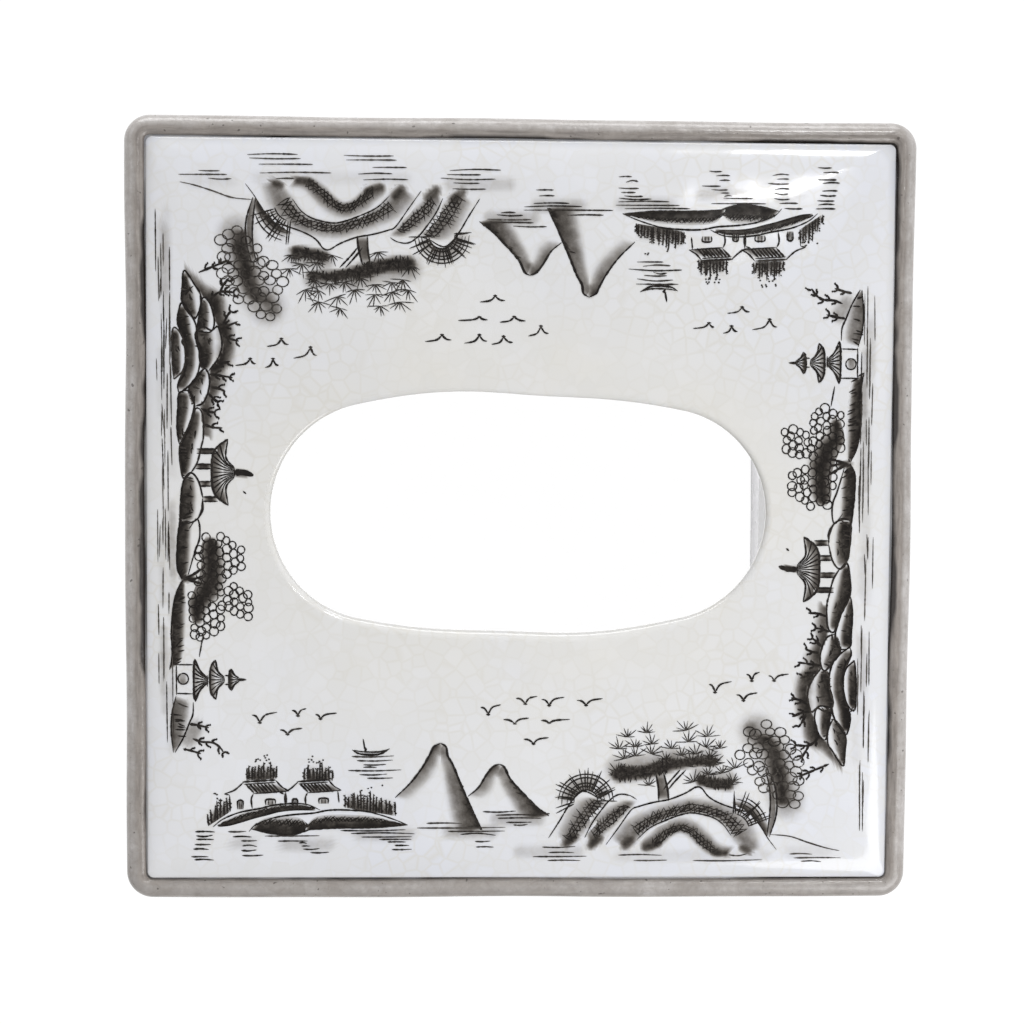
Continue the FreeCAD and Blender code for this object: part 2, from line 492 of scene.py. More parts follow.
def base_section():
    """Section of the base run, with its pooling: inner lip (below 0, pale), foot and outer bead."""
    section = [(lip_reach, base_lip_top, -1.0), (inner_reach + 0.1, base_lip_top, -1.0)]
    section += [(inner_reach, base_lip_top - 0.1, -1.0), (inner_reach, base_lip_top - 0.4, -1.0)]
    foot = inner_reach - foot_flare
    section += [(foot, 0.8, -1.0), (foot, 0.4, -1.0), (foot + 0.4, 0.0, -0.6)]
    section += [(half_width - foot_radius, 0.0, 0.0)]
    for turn in quarter(8)[1:]:
        reach = half_width - foot_radius + foot_radius * math.sin(turn)
        section.append((reach, foot_radius * (1 - math.cos(turn)), 0.0))
    for turn in quarter(9):
        reach = half_width - bead_fall * (1 - math.cos(turn))
        section.append((reach, base_height - bead_round * (1 - math.sin(turn)), turn / 2))
    section.append((half_width - bead_fall - hidden_inset, base_height + 0.1, 1.0))
    return section


def build_corner(name, sign_x, sign_y, seed):
    """Upright bead in one corner of the cover."""
    middle = half_width - nose_radius - corner_softness
    radius = nose_radius + corner_softness
    start = math.asin((seam_reach + corner_run - middle) / radius)
    edge = middle + radius * math.cos(start)
    flank = [(half_width - bead_fall - hidden_tuck, seam_reach - 0.1)]
    for turn in quarter(8):
        inset = edge - (bead_fall - half_width + edge) * (1 - math.sin(turn))
        flank.append((inset, seam_reach + corner_run * (1 - math.cos(turn))))
    plan = list(flank)
    for turn in np.linspace(start, math.pi / 2 - start, 13)[1:-1]:
        plan.append((middle + radius * math.cos(turn), middle + radius * math.sin(turn)))
    plan += [(y, x) for x, y in reversed(flank)]
    plan = np.array(pooled(plan, seam_reach, seam_reach))
    levels = np.linspace(base_height - hidden_tuck, seam_height + 0.7, corner_rows)
    points = []
    for level in levels:
        sway = 1 + bead_wave * 0.5 / half_width * wave(np.array(level * 1.4), np.array(9.0), seed)
        spread = plan[:, :2] * sway * (sign_x, sign_y)
        points.append(np.column_stack([spread, np.full(len(plan), level)]))
    faces = grid_faces(len(levels), len(plan))
    if sign_x * sign_y < 0:
        faces = [quad[::-1] for quad in faces]
    bead = piece("corner_bead_skin_" + name, np.concatenate(points), faces, "bead_wash",
                 "corner_bead_" + name)
    tag(bead, "pool", np.tile(plan[:, 2], len(levels)))
    tag_run(bead, np.column_stack([levels, levels * 0]), plan[:, :2], False)
    return bead


# Brushwork


def smooth(points, step):
    """A soft curve through a few points, with points about a step apart."""
    points = np.asarray(points, dtype=float)
    if len(points) == 2:
        count = max(3, int(np.hypot(*(points[1] - points[0])) / step) + 1)
        share = np.linspace(0, 1, count)[:, None]
        return points[0] + (points[1] - points[0]) * share
    ends = np.vstack([2 * points[0] - points[1], points, 2 * points[-1] - points[-2]])
    path = []
    for index in range(1, len(ends) - 2):
        a, b, c, d = ends[index - 1:index + 3]
        count = max(2, int(np.hypot(*(c - b)) / step) + 1)
        t = np.linspace(0, 1, count, endpoint=False)[:, None]
        path.append(0.5 * (2 * b + (c - a) * t + (2 * a - 5 * b + 4 * c - d) * t ** 2
                           + (3 * b - a - 3 * c + d) * t ** 3))
    path.append(points[-1:])
    return np.concatenate(path)


def pair(value):
    """The numbers at both ends of a wash, from one or two."""
    return value if isinstance(value, tuple) else (value, value)


class Page:
    """Brush lines and washes on one face, in millimetres from its middle."""

    def __init__(self, seed):
        self.random = np.random.default_rng(seed)
        self.lines = []
        self.washes = []
        self.strips = []
        self.turn = 0.0
        self.shift = np.zeros(2)
        self.scale = 1.0

    def lay(self, points):
        """Points of a motif at their place on the page."""
        turned = Matrix.Rotation(self.turn, 2)
        return np.asarray(points, dtype=float) @ np.array(turned).T * self.scale + self.shift

    def line(self, points, width=0.36, dark=0.95, taper=(0.35, 0.35)):
        """A brush line; taper is the share of its length over which each end swells."""
        self.lines.append((self.lay(points), width, dark, taper))

    def wash(self, points, width, dark, within=None):
        """A soft wash along a path, cut off outside an outline where one is given."""
        within = None if within is None else self.lay(smooth(within, 1.0))
        self.washes.append((self.lay(smooth(points, 0.9)), pair(width), pair(dark), within))

    def shade(self, low, high, dark, fade=0.0, lean=0.0):
        """Soft shade that is dark along one curve and fades towards another, stronger at one end."""
        self.strips.append((*along_two(self.lay(low), self.lay(high), shade_step), dark, fade, lean))

    def ink(self, flat):
        """How much wash lies on each point of the face."""
        clear = np.ones(len(flat))
        for path, width, dark, within in self.washes:
            margin = max(width)
            near = np.all((flat > path.min(0) - margin) & (flat < path.max(0) + margin), axis=1)
            if not near.any():
                continue
            spots = flat[near]
            best = np.full(len(spots), 9.0)
            tone = np.zeros(len(spots))
            for index in range(len(path) - 1):
                run = path[index + 1] - path[index]
                along = np.clip((spots - path[index]) @ run / max(run @ run, 1e-9), 0, 1)
                gap = np.hypot(*(spots - path[index] - along[:, None] * run).T)
                share = (index + along) / (len(path) - 1)
                part = gap / (width[0] + (width[1] - width[0]) * share)
                better = part < best
                best = np.where(better, part, best)
                tone = np.where(better, dark[0] + (dark[1] - dark[0]) * share, tone)
            fade = np.clip((1 - best) / wash_softness, 0, 1)
            amount = tone * fade * fade * (3 - 2 * fade)
            if within is not None:
                amount = amount * inside(spots, within)
            clear[near] *= 1 - np.clip(amount, 0, 1)
        return 1 - clear

    def shades(self, face):
        """The soft shades as fine strips that lie on the face under the lines."""
        flat, tone, lift, faces = [], [], [], []
        start = 0
        share = np.linspace(0, 1, shade_rows)
        for number, (low, high, dark, fade, lean) in enumerate(self.strips):
            count = len(low)
            spots = low[None] + (high - low)[None] * share[:, None, None]
            fall = dark + (fade - dark) * share * share * (3 - 2 * share)
            ends = np.clip(np.minimum(np.arange(count), np.arange(count)[::-1]) / 2.0, 0, 1)
            flat.append(spots.reshape(-1, 2))
            ends = ends * (1 + lean * np.linspace(-1, 1, count))
            tone.append(np.minimum(fall[:, None] * ends[None], 0.98).ravel())
            lift.append(np.full(count * shade_rows, shade_lift * (1 + number / len(self.strips))))
            faces += grid_faces(shade_rows, count, start)
            start += count * shade_rows
        flat = np.concatenate(flat)
        clear = (1 - np.concatenate(tone)) * (1 - self.ink(flat))
        shade = face.layer("_brush_shades", flat, lift, faces)
        tag(shade, "ink", 1 - clear)
        tag(shade, "cream", face.cream(flat))
        return shade

    def ribbons(self, face):
        """The brush lines as thin ribbons that lie on the face."""
        flat, tone, lift, faces = [], [], [], []
        start = 0
        for points, width, dark, taper in self.lines:
            path = smooth(points, ink_step)
            count = len(path)
            along = np.gradient(path, axis=0)
            along /= np.maximum(np.hypot(*along.T), 1e-9)[:, None]
            aside = np.stack([-along[:, 1], along[:, 0]], axis=1)
            share = np.linspace(0, 1, count)
            swell = np.minimum(share / max(taper[0], 1e-6), (1 - share) / max(taper[1], 1e-6))
            swell = stroke_tip + (1 - stroke_tip) * np.sqrt(np.clip(swell, 0, 1))
            swell *= 1 + stroke_shake * self.random.standard_normal(count)
            reach = (width / 2 * np.clip(swell, 0.15, 1.3))[:, None]
            flat += [path + aside * reach, path - aside * reach]
            mood = dark * (1 + stroke_mood * self.random.standard_normal())
            full = thin_tone + (1 - thin_tone) * np.clip(swell, 0, 1)
            tone.append(np.tile(mood * full, 2))
            lift.append(np.full(2 * count, ink_lift + ink_layer * self.random.random()))
            faces += [quad[::-1] for quad in grid_faces(2, count, start)]
            start += 2 * count
        brush = face.layer("_brush_lines", np.concatenate(flat), lift, faces)
        tag(brush, "ink", np.clip(np.concatenate(tone), 0, 1))
        return brush


def inside(spots, outline):
    """1 where a point lies in a closed outline, else 0."""
    odd = np.zeros(len(spots), dtype=bool)
    x, y = spots[:, 0], spots[:, 1]
    for a, b in zip(outline, np.roll(outline, -1, axis=0)):
        crosses = (a[1] > y) != (b[1] > y)
        rise = b[1] - a[1] if abs(b[1] - a[1]) > 1e-9 else 1e-9
        odd ^= crosses & (x < a[0] + (y - a[1]) * (b[0] - a[0]) / rise)
    return odd.astype(float)


def unit(run):
    """The same direction with a length of 1."""
    return run / max(np.hypot(*run), 1e-9)


def along_two(low, high, step):
    """Points that run side by side along two curves."""
    first = smooth(low, 0.3)
    second = smooth(high, 0.3)
    count = max(4, int(np.hypot(*np.diff(first, axis=0).T).sum() / step))
    share = np.linspace(0, 1, count)
    runs = []
    for curve in (first, second):
        own = np.linspace(0, 1, len(curve))
        runs.append(np.stack([np.interp(share, own, curve[:, axis]) for axis in (0, 1)], axis=1))
    return runs


def between(low, high, share):
    """Points a share of the way from one list of points to another."""
    return [(a + (c - a) * share, b + (d - b) * share) for (a, b), (c, d) in zip(low, high)]


def deep_shade(page, low, core, high, dark, mid, fade=0.0, lean=0.0):
    """Shade that stays dark up to a core and fades beyond it."""
    page.shade(low, core, dark, mid, lean)
    page.shade(core, high, mid, fade, lean)


def net(page, low, high, gap=0.85, reach=0.8, dark=0.95, thick=0.3):
    """Brush lattice between two curves, longest where it starts from the first one."""
    near, far = along_two(low, high, gap)
    last = len(near) - 1
    for index in range(len(near)):
        for lean in (2, -1):
            other = min(max(index + lean, 0), last)
            top = reach * page.random.uniform(0.75, 1.1)
            tip = near[other] + (far[other] - near[other]) * top
            start = near[index] + (far[index] - near[index]) * page.random.uniform(0.0, 0.2)
            middle = (start + tip) / 2 + page.random.normal(0, 0.08, 2)
            page.line([start, middle, tip], thick, dark, (0.2, 0.6))


def strokes(page, low, high, count, dark=0.92, thick=0.3, past=1.15):
    """Ragged strokes that rise from one curve towards another."""
    near, far = along_two(low, high, 0.3)
    for _ in range(count):
        index = page.random.integers(len(near))
        rise = far[index] - near[index]
        start = near[index] + rise * page.random.uniform(-0.12, 0.45)
        sway = np.array([page.random.normal(0, 0.35), 0.0])
        tip = start + rise * page.random.uniform(0.35, past - 0.35) + sway
        page.line([start, (start + tip) / 2 + sway * 0.2, tip], thick, dark, (0.15, 0.6))


def gull(page, x, y, left, right, lift):
    """A gull as two wing strokes that meet in a dab."""
    wing = [(x - left, y + 0.72 * lift), (x - 0.5 * left, y + 0.62 * lift), (x, y)]
    page.line(wing, 0.37, 0.93, (0.3, 0.1))
    wing = [(x, y), (x + 0.32 * right, y + 0.72 * lift), (x + right, y + lift)]
    page.line(wing, 0.34, 0.9, (0.1, 0.4))
    page.line([(x - 0.42, y - 0.1), (x + 0.38, y - 0.12)], 0.48, 0.93)


def ripples(page, rows, dark=0.8, thick=0.3):
    """Level water strokes, each given as left end, right end and height."""
    for left, right, y in rows:
        tilt = page.random.normal(0, 0.08)
        path = [(left, y), ((left + right) / 2, y + tilt), (right, y - tilt)]
        page.line(path, thick, dark, (0.12, 0.6))


def reeds(page, left, right, foot_left, foot_right, tall, dots):
    """A tuft of upright stems with side dabs, dark at the foot, loose dabs above."""
    count = int((right - left) / 0.56)
    for index in range(count + 1):
        share = index / count
        x = left + (right - left) * share + page.random.normal(0, 0.08)
        foot = foot_left + (foot_right - foot_left) * share
        high = tall * page.random.uniform(0.62, 1.0) * (0.72 + 0.28 * math.sin(math.pi * share))
        page.line([(x, foot), (x + page.random.normal(0, 0.1), foot + high)], 0.34, 0.93, (0.05, 0.4))
        for step in np.arange(0.12, 0.95, 0.15):
            side = 0.34 if page.random.random() < 0.5 else -0.34
            y = foot + high * step
            page.line([(x, y), (x + side, y + 0.24)], 0.3, 0.9)
    for _ in range(dots):
        x = left + (right - left) * page.random.uniform(0.12, 0.8)
        y = page.random.uniform(0.85, 1.25) * tall + (foot_left + foot_right) / 2
        page.line([(x, y), (x + 0.38, y + 0.1)], 0.36, 0.9)
    low = [(left, foot_left), (right, foot_right)]
    high = [(left, foot_left + 0.75 * tall), (right, foot_right + 0.75 * tall)]
    page.shade(low, high, 0.6)


def cottage(page, x, y, wide):
    """A small house with a tiled roof, seen from its gable, set by the left end of its ridge."""
    def spots(*points):
        return [(x + u * wide, y + v * wide) for u, v in points]
    page.shade(spots((0.17, -0.185), (0.7, -0.15)), spots((0.02, -0.03), (0.52, -0.0)), 0.5)
    page.line(spots((-0.02, 0), (0.5, 0.03)), 0.42, 0.95, (0.1, 0.1))
    page.line(spots((0, -0.04), (0.5, -0.01)), 0.25, 0.85, (0.1, 0.1))
    for thick, *path in ((0.32, (0, 0), (-0.15, -0.13), (-0.31, -0.19)),
                         (0.32, (-0.31, -0.19), (-0.23, -0.21)),
                         (0.34, (-0.23, -0.21), (-0.22, -0.46)),
                         (0.3, (0.5, 0.03), (0.6, -0.08), (0.72, -0.15)),
                         (0.28, (0.15, -0.19), (0.45, -0.17), (0.72, -0.15)),
                         (0.34, (0.15, -0.19), (0.115, -0.28), (0.13, -0.43)),
                         (0.32, (0.66, -0.16), (0.68, -0.36))):
        page.line(spots(*path), thick)
    for index in range(8):
        u = 0.02 + 0.06 * index
        page.line(spots((u, -0.03), (u + 0.08, -0.11), (u + 0.14, -0.18)), 0.42, 0.93, (0.2, 0.5))
    for u, v, w, h in ((-0.06, -0.37, 0.085, 0.14), (0.42, -0.33, 0.15, 0.09)):
        left, right = u - w / 2, u + w / 2
        foot, head, bend = v - h / 2, v + h / 2, v + 0.4 * h
        page.shade(spots((left, foot), (right, foot)), spots((left, head), (right, head)), 0.75, 0.4)
        page.line(spots((left, foot), (left, bend), (u, v + 0.55 * h), (right, bend), (right, foot)))
        for step in np.linspace(-0.2, 0.2, 2):
            page.line(spots((u + w * step, foot), (u + w * step, v + h * 0.45)), 0.22, 0.8)


def mountain(page, outline, foot_shade):
    """A peak: brush contour, soft shade inside both slopes, white middle."""
    peak = max(range(len(outline)), key=lambda index: outline[index][1])
    tip_x, tip_y = outline[peak]
    right = outline[peak:]
    left = outline[peak::-1]
    foot_y = min(y for x, y in right)
    span = tip_y - foot_y
    middle, inner = [], []
    for x, y in right:
        down = (tip_y - y) / span
        middle.append((x - 0.35 - 0.45 * foot_shade * down, y - 0.3 - 0.2 * down))
        inner.append((x - 1.3 - 1.3 * foot_shade * down, y - 0.6 - 0.3 * down))
    deep_shade(page, right, middle, inner, 0.6, 0.42, 0.0, 0.5)
    far = []
    for step, (x, y) in enumerate(left):
        far.append((x + 0.5 + 0.8 * min(step, 3), y - 0.4 - 0.2 * min(step, 3)))
    page.shade(left, far, 0.42, 0.0, -0.6)
    page.wash([(tip_x - 0.3, tip_y - 1.1), (tip_x, tip_y - 1.6)], 1.3, 0.3)
    page.line(outline[:peak + 1], 0.4, 0.92, (0.5, 0.1))
    page.line(outline[peak:], 0.44, 0.95, (0.1, 0.4))
    strokes(page, right[-4:], [(x - 1.0, y + 0.5) for x, y in right[-4:]], 16, 0.8, 0.28)


def rock(page, outline, low, high, dark):
    """A rounded rock: contour, soft shade that ends at one flank, and lattice hatching on it."""
    near, far = along_two(low, high, 0.9)
    middle = near + 0.5 * (far - near)
    page.shade(middle, near + 1.7 * (far - near), dark)
    page.shade(middle, near - 0.25 * (far - near), dark)
    page.line(outline, 0.3, 0.9, (0.3, 0.3))
    trim = max(1, len(near) // 7)
    near, far = near[trim:-trim], far[trim:-trim]
    net(page, near, far, 0.78, 1.05, 0.9, 0.22)
    for part in (0.25, 0.5, 0.75):
        path = near + (far - near) * part
        path = path + page.random.normal(0, 0.1, path.shape)
        for start in range(0, len(path) - 3, 3):
            page.line(path[start:start + 4], 0.22, 0.88, (0.3, 0.4))


def crag(page, outline, dark):
    """A boulder: contour, dark lower side that fades upwards, and a few short marks."""
    loop_points = smooth(outline + outline[:1], 0.4)
    middle = loop_points.mean(0)
    turn = np.linalg.svd(loop_points - middle)[2]
    main = turn[0] if turn[0][0] > 0 else -turn[0]
    down = np.array([main[1], -main[0]])
    run = (loop_points - middle) @ main
    fall = (loop_points - middle) @ down
    low, core, high = [], [], []
    for station in np.linspace(run.min() * 0.94, run.max() * 0.94, 12):
        close = fall[np.abs(run - station) < 0.9]
        if len(close) < 2:
            continue
        low.append(middle + main * station + down * close.max())
        core.append(middle + main * station + down * (close.max() - 0.36 * np.ptp(close)))
        high.append(middle + main * station + down * (close.max() - 0.76 * np.ptp(close)))
    deep = min(1.3 * dark * page.random.uniform(0.85, 1.1), 0.98)
    lean = page.random.uniform(0.1, 0.4) * page.random.choice((-1, 1))
    deep_shade(page, low, core, high, deep, 0.75 * deep, 0.0, lean)
    strokes(page, low, high, 7, 0.85, 0.3, 0.95)
    page.line(outline + outline[:1], 0.34, 0.95, even_ends)
    for _ in range(4):
        spot = middle + main * page.random.uniform(-0.3, 0.3) * np.ptp(run)
        spot = spot + down * page.random.uniform(-0.1, 0.25) * np.ptp(fall)
        tip = spot + main * page.random.uniform(0.8, 1.4) + down * page.random.uniform(-0.5, 0.1)
        page.line([spot, (spot + tip) / 2 + down * 0.15, tip], 0.32, 0.9, (0.1, 0.6))


def grid_bush(page, x, y, near, far, first, last, dark):
    """A fan of arcs and rays, brushed like a basket, darkest where it starts."""
    def arc(radius, low, high):
        return [(x + radius * math.cos(t), y + radius * math.sin(t)) for t in np.linspace(low, high, 8)]
    page.shade(arc(near, first, last), arc(far, first, last), dark)
    page.shade(arc(near, first, first + 0.9), arc(far * 0.95, first, first + 0.9), 0.6)
    for radius in np.arange(near, far, 0.75):
        wobble = page.random.normal(0, 0.1)
        path = arc(radius + wobble, first - page.random.uniform(0, 0.1),
                   last - page.random.uniform(0, 0.3))
        page.line(path, 0.27, 0.92, (0.2, 0.4))
    for turn in np.linspace(first, last, int((last - first) * far / 0.85)):
        end = far + page.random.uniform(-0.5, 0.8)
        bend = turn + page.random.normal(0, 0.09)
        page.line([(x + near * math.cos(turn), y + near * math.sin(turn)),
                   (x + end * math.cos(bend), y + end * math.sin(bend))], 0.27, 0.92, (0.1, 0.5))


def needles(page, x, y, reach):
    """One fan of pine needles."""
    lean = page.random.normal(0, 0.2)
    for turn in np.linspace(0.1, math.pi - 0.1, 7) + lean:
        end = reach * page.random.uniform(0.65, 1.2)
        aim = turn + page.random.normal(0, 0.08)
        page.line([(x, y), (x + end * math.cos(aim), y + end * math.sin(aim))], 0.19, 0.84, (0.1, 0.4))


def round_leaf(page, x, y, wide, tall, dark=0.92, thick=0.26):
    """One round leaf as a single turn of the brush."""
    turns = page.random.uniform(0, 6.28) + np.linspace(0, 6.4, 13)
    page.line([(x + wide * math.cos(t), y + tall * math.sin(t)) for t in turns], thick, dark, even_ends)


def leaf_cluster(page, lobes, size, flat, dark=0.92, thick=0.24):
    """Round leaves packed edge to edge in the lobes of a crown."""
    gap = 1.86 * size
    for lobe in lobes:
        edge = smooth(lobe + lobe[:1], 0.6)
        low, high = edge.min(0), edge.max(0)
        for row, y in enumerate(np.arange(low[1], high[1], gap * 0.87 * flat)):
            for x in np.arange(low[0] + gap / 2 * (row % 2), high[0], gap):
                spot = np.array([x, y]) + page.random.normal(0, 0.12 * gap, 2)
                if inside(spot[None, :], edge)[0]:
                    wide = size * page.random.uniform(0.8, 1.12)
                    tall = wide * flat * page.random.uniform(0.88, 1.08)
                    round_leaf(page, *spot, wide, tall, dark, thick)


def sprig(page, path, step=1.4):
    """A bare twig with knobbed side shoots."""
    spine = smooth(path, 0.3)
    page.line(path, 0.46, 0.96, (0.1, 0.15))
    length = np.hypot(*np.diff(spine, axis=0).T).sum()
    count = max(2, int(length / step))
    for index in range(1, count + 1):
        at = min(int(len(spine) * index / (count + 0.4)), len(spine) - 2)
        ahead = unit(spine[at + 1] - spine[at])
        side = np.array([-ahead[1], ahead[0]]) * (1 if index % 2 else -1)
        long = page.random.uniform(0.85, 1.3)
        for hand in (1, -0.75) if page.random.random() < 0.45 else (1,):
            tip = spine[at] + (side * hand * 0.8 + ahead * 0.75) * long
            bend = spine[at] + (side * hand * 0.5 + ahead * 0.2) * long
            page.line([spine[at], bend, tip], 0.42, 0.96, even_ends)
            page.line([tip - ahead * 0.2, tip + ahead * 0.14], 0.58, 0.96, even_ends)


def fan_roof(page, x, top, half, drop, lift, rays, dark):
    """A curved roof seen from below its tip, brushed with rays; its eave ends are lifted."""
    neck = 0.14 * half
    end = top - drop + lift

    def eave(share):
        return x + half * share, top - drop + lift * share ** 4
    rim = [eave(share) for share in np.linspace(-1, 1, 9)]
    middle = []
    for share in np.linspace(-1, 1, 9):
        middle.append((x + 0.5 * half * share, top - 0.5 * drop + 0.1 * lift * share ** 2))
    page.shade(rim, middle, dark)
    for side in (-1, 1):
        knee = (x + side * 0.45 * half, top - 0.3 * drop - 0.25 * (drop - lift))
        page.line([(x + side * neck, top), knee, (x + side * half, end)])
    page.line(rim, 0.42, 0.95, even_ends)
    page.line([(x - neck, top), (x + neck, top)], 0.3)
    for share in np.linspace(-0.84, 0.84, rays):
        thick = 0.26 * page.random.uniform(0.8, 1.3)
        knee = (x + 0.42 * half * share, top - 0.42 * drop)
        page.line([(x + neck * share, top), knee, eave(share)], thick, 0.95, (0.7, 0.02))


# Motifs of the lake scene


def gulls(page):
    """Gulls in loose groups over the water."""
    flocks = ((-49.3, -40.6, 1.5, 3.3, 1.9), (-42.0, -39.3, 1.2, 1.6, 1.3),
              (-37.7, -39.9, 1.0, 3.1, 1.0), (-44.0, -42.9, 1.5, 2.8, 1.1), (-5.6, -39.2, 1.5, 2.4, 1.8),
              (1.5, -37.2, 1.8, 2.3, 1.4), (6.1, -37.5, 1.5, 2.9, 1.5), (13.2, -37.5, 1.8, 3.2, 1.2),
              (-0.5, -41.0, 2.2, 2.7, 1.0), (6.1, -40.9, 1.6, 4.0, 0.6), (3.1, -44.9, 1.9, 2.9, 1.1),
              (38.1, -35.1, 1.2, 3.2, 2.0), (45.2, -32.9, 1.1, 1.5, 1.6), (49.5, -32.9, 1.1, 2.8, 1.2),
              (43.6, -36.7, 1.4, 2.7, 1.4))
    for bird in flocks:
        gull(page, *bird)


def boat(page):
    """A small boat on its own patch of water."""
    page.line([(-31.7, -46.0), (-30.2, -46.8), (-26.7, -46.9), (-24.5, -45.8)], 0.42)
    page.line([(-31.5, -46.1), (-29.5, -46.4), (-26.5, -46.4), (-24.7, -45.9)], 0.32)
    page.line([(-29.6, -43.9), (-29.2, -46.3)])
    page.line([(-29.5, -45.6), (-29.0, -45.9), (-29.4, -46.3)], 0.48)
    ripples(page, ((-31.8, -23.7, -47.3), (-30.8, -23.9, -48.1), (-29.6, -25.2, -48.9),
                   (-29.6, -27.0, -49.4), (-32.5, -22.3, -50.0), (-30.3, -25.0, -50.8),
                   (-28.9, -23.9, -51.5)))


def village(page):
    """Two houses among reeds."""
    reeds(page, -51.9, -46.2, -51.8, -51.5, 3.9, 10)
    reeds(page, -40.9, -35.6, -51.9, -52.0, 3.9, 9)
    reeds(page, -59.2, -55.0, -60.6, -57.8, 4.0, 6)
    reeds(page, -33.0, -23.6, -57.2, -58.8, 4.2, 5)
    cottage(page, -52.4, -52.1, 12.0)
    cottage(page, -42.0, -52.1, 11.4)


def islet(page):
    """The islet under the houses: two tongues of land in front of a third."""
    back = [(-58.4, -60.8), (-56.5, -59.3), (-53.3, -58.0), (-49.2, -57.2), (-46.6, -56.6),
            (-42.8, -56.3), (-40.1, -56.6), (-37.9, -57.6)]
    front = [(-51.5, -61.7), (-50.1, -60.3), (-46.9, -59.1), (-43.3, -58.5), (-39.2, -58.2),
             (-36.6, -57.7), (-33.7, -57.6), (-29.3, -57.9), (-26.4, -58.6), (-23.5, -59.6),
             (-21.1, -60.6)]
    back_low = [(-57.5, -60.8), (-55.3, -60.6), (-52.7, -59.9), (-50.4, -59.2), (-48.0, -58.6),
                (-45.7, -58.0), (-42.8, -57.7), (-38.7, -57.7)]
    back_high = [(-57.4, -60.3), (-54.7, -58.9), (-52.1, -58.0), (-49.8, -57.4), (-47.1, -56.8),
                 (-44.5, -56.5), (-41.6, -56.5), (-39.0, -57.1)]
    left_low = [(-51.0, -61.2), (-48.6, -61.8), (-46.3, -62.2), (-43.6, -62.4), (-41.3, -61.9),
                (-39.8, -61.4)]
    left_high = [(-49.9, -59.9), (-48.0, -59.0), (-45.7, -58.8), (-43.6, -58.8), (-41.6, -59.2),
                 (-40.3, -60.2)]
    right_low = [(-40.7, -61.5), (-38.1, -61.3), (-34.6, -61.1), (-30.5, -61.1), (-26.4, -61.0),
                 (-21.4, -60.6)]
    right_high = [(-40.4, -60.4), (-38.6, -58.9), (-35.2, -58.5), (-30.8, -58.6), (-27.0, -59.0),
                  (-21.8, -60.4)]
    for low, high in ((back_low, back_high), (left_low, left_high), (right_low, right_high)):
        core = between(low, high, 0.42)
        deep_shade(page, low, core, high, 0.97, 0.75, 0.06)
        net(page, core, high, 0.62, 0.8, 0.95, 0.28)
    page.line(back, 0.34)
    page.line(front, 0.34)
    page.line([(-21.1, -60.6)] + right_low[::-1][1:])
    page.line(left_low[::-1], 0.4)


def peaks(page):
    """A tall and a small peak."""
    tall = [(-23.5, -55.3), (-20.6, -52.5), (-18.3, -49.5), (-16.8, -46.9), (-16.1, -45.5),
            (-14.8, -44.8), (-13.7, -45.5), (-13.4, -47.2), (-12.4, -49.0), (-11.0, -52.5),
            (-9.5, -56.0), (-8.0, -59.2), (-6.8, -61.6)]
    small = [(-9.5, -55.1), (-7.5, -53.4), (-6.0, -51.0), (-4.7, -49.4), (-3.5, -48.9), (-2.5, -49.5),
             (-1.3, -51.9), (1.3, -54.8), (3.7, -57.2), (6.1, -59.0)]
    mountain(page, tall, 3.4)
    mountain(page, small, 3.0)


def lake_water(page):
    """Level strokes round the islet, the peaks and the rocks, over thin washes."""
    ripples(page, ((-61.8, -58.0, -61.7), (-61.6, -58.4, -62.5), (-61.6, -58.2, -63.2),
                   (-61.9, -58.8, -64.2), (-62.2, -59.2, -65.1), (-62.6, -59.3, -66.6),
                   (-62.0, -58.3, -67.2), (-55.5, -52.0, -61.7), (-54.6, -51.0, -62.7),
                   (-53.0, -50.0, -63.5), (-52.8, -50.0, -64.5), (-53.0, -50.1, -65.4),
                   (-52.9, -48.8, -66.4)), 0.85, 0.34)
    ripples(page, ((-48.5, -38.0, -62.6), (-46.0, -40.3, -63.6), (-42.0, -40.4, -64.0),
                   (-41.5, -39.8, -64.6), (-41.2, -38.0, -65.2), (-39.8, -36.2, -65.9),
                   (-34.0, -21.5, -61.6), (-32.0, -19.8, -62.2), (-30.0, -20.3, -62.9),
                   (-26.6, -20.4, -63.4), (-25.0, -21.4, -63.9), (-23.6, -20.8, -64.6),
                   (-24.2, -20.3, -65.4)))
    ripples(page, ((-17.5, -10.6, -60.3), (-19.3, -2.3, -61.2), (-13.4, -2.4, -61.9),
                   (-11.0, -4.2, -62.5), (-8.2, -5.2, -63.9), (-8.0, -4.6, -65.0), (-6.7, -0.3, -58.1),
                   (-4.2, 5.2, -58.8), (-3.8, 4.6, -59.4), (-2.2, 2.8, -60.2), (-0.8, 2.0, -60.7)))
    ripples(page, ((4.8, 11.2, -65.1), (6.0, 11.0, -66.2), (3.0, 13.4, -67.0), (5.8, 12.2, -67.8),
                   (19.5, 28.0, -66.8), (22.5, 29.0, -67.9), (34.0, 47.5, -68.0), (41.0, 44.5, -66.9),
                   (53.6, 62.8, -67.6), (55.0, 59.0, -68.3), (52.8, 57.2, -66.8)), 0.7, 0.28)
    for left, right, y, dark in ((-54.0, -51.5, -64.0, 0.06), (-44.5, -36.5, -64.4, 0.08),
                                 (-30.0, -21.0, -62.4, 0.08), (-13.0, -5.0, -62.0, 0.12),
                                 (-4.0, 4.0, -59.6, 0.12), (0.5, 11.5, -66.0, 0.07),
                                 (20.0, 48.0, -67.0, 0.03), (53.0, 60.0, -66.4, 0.03)):
        page.wash([(left, y), (right, y)], 1.9, dark)


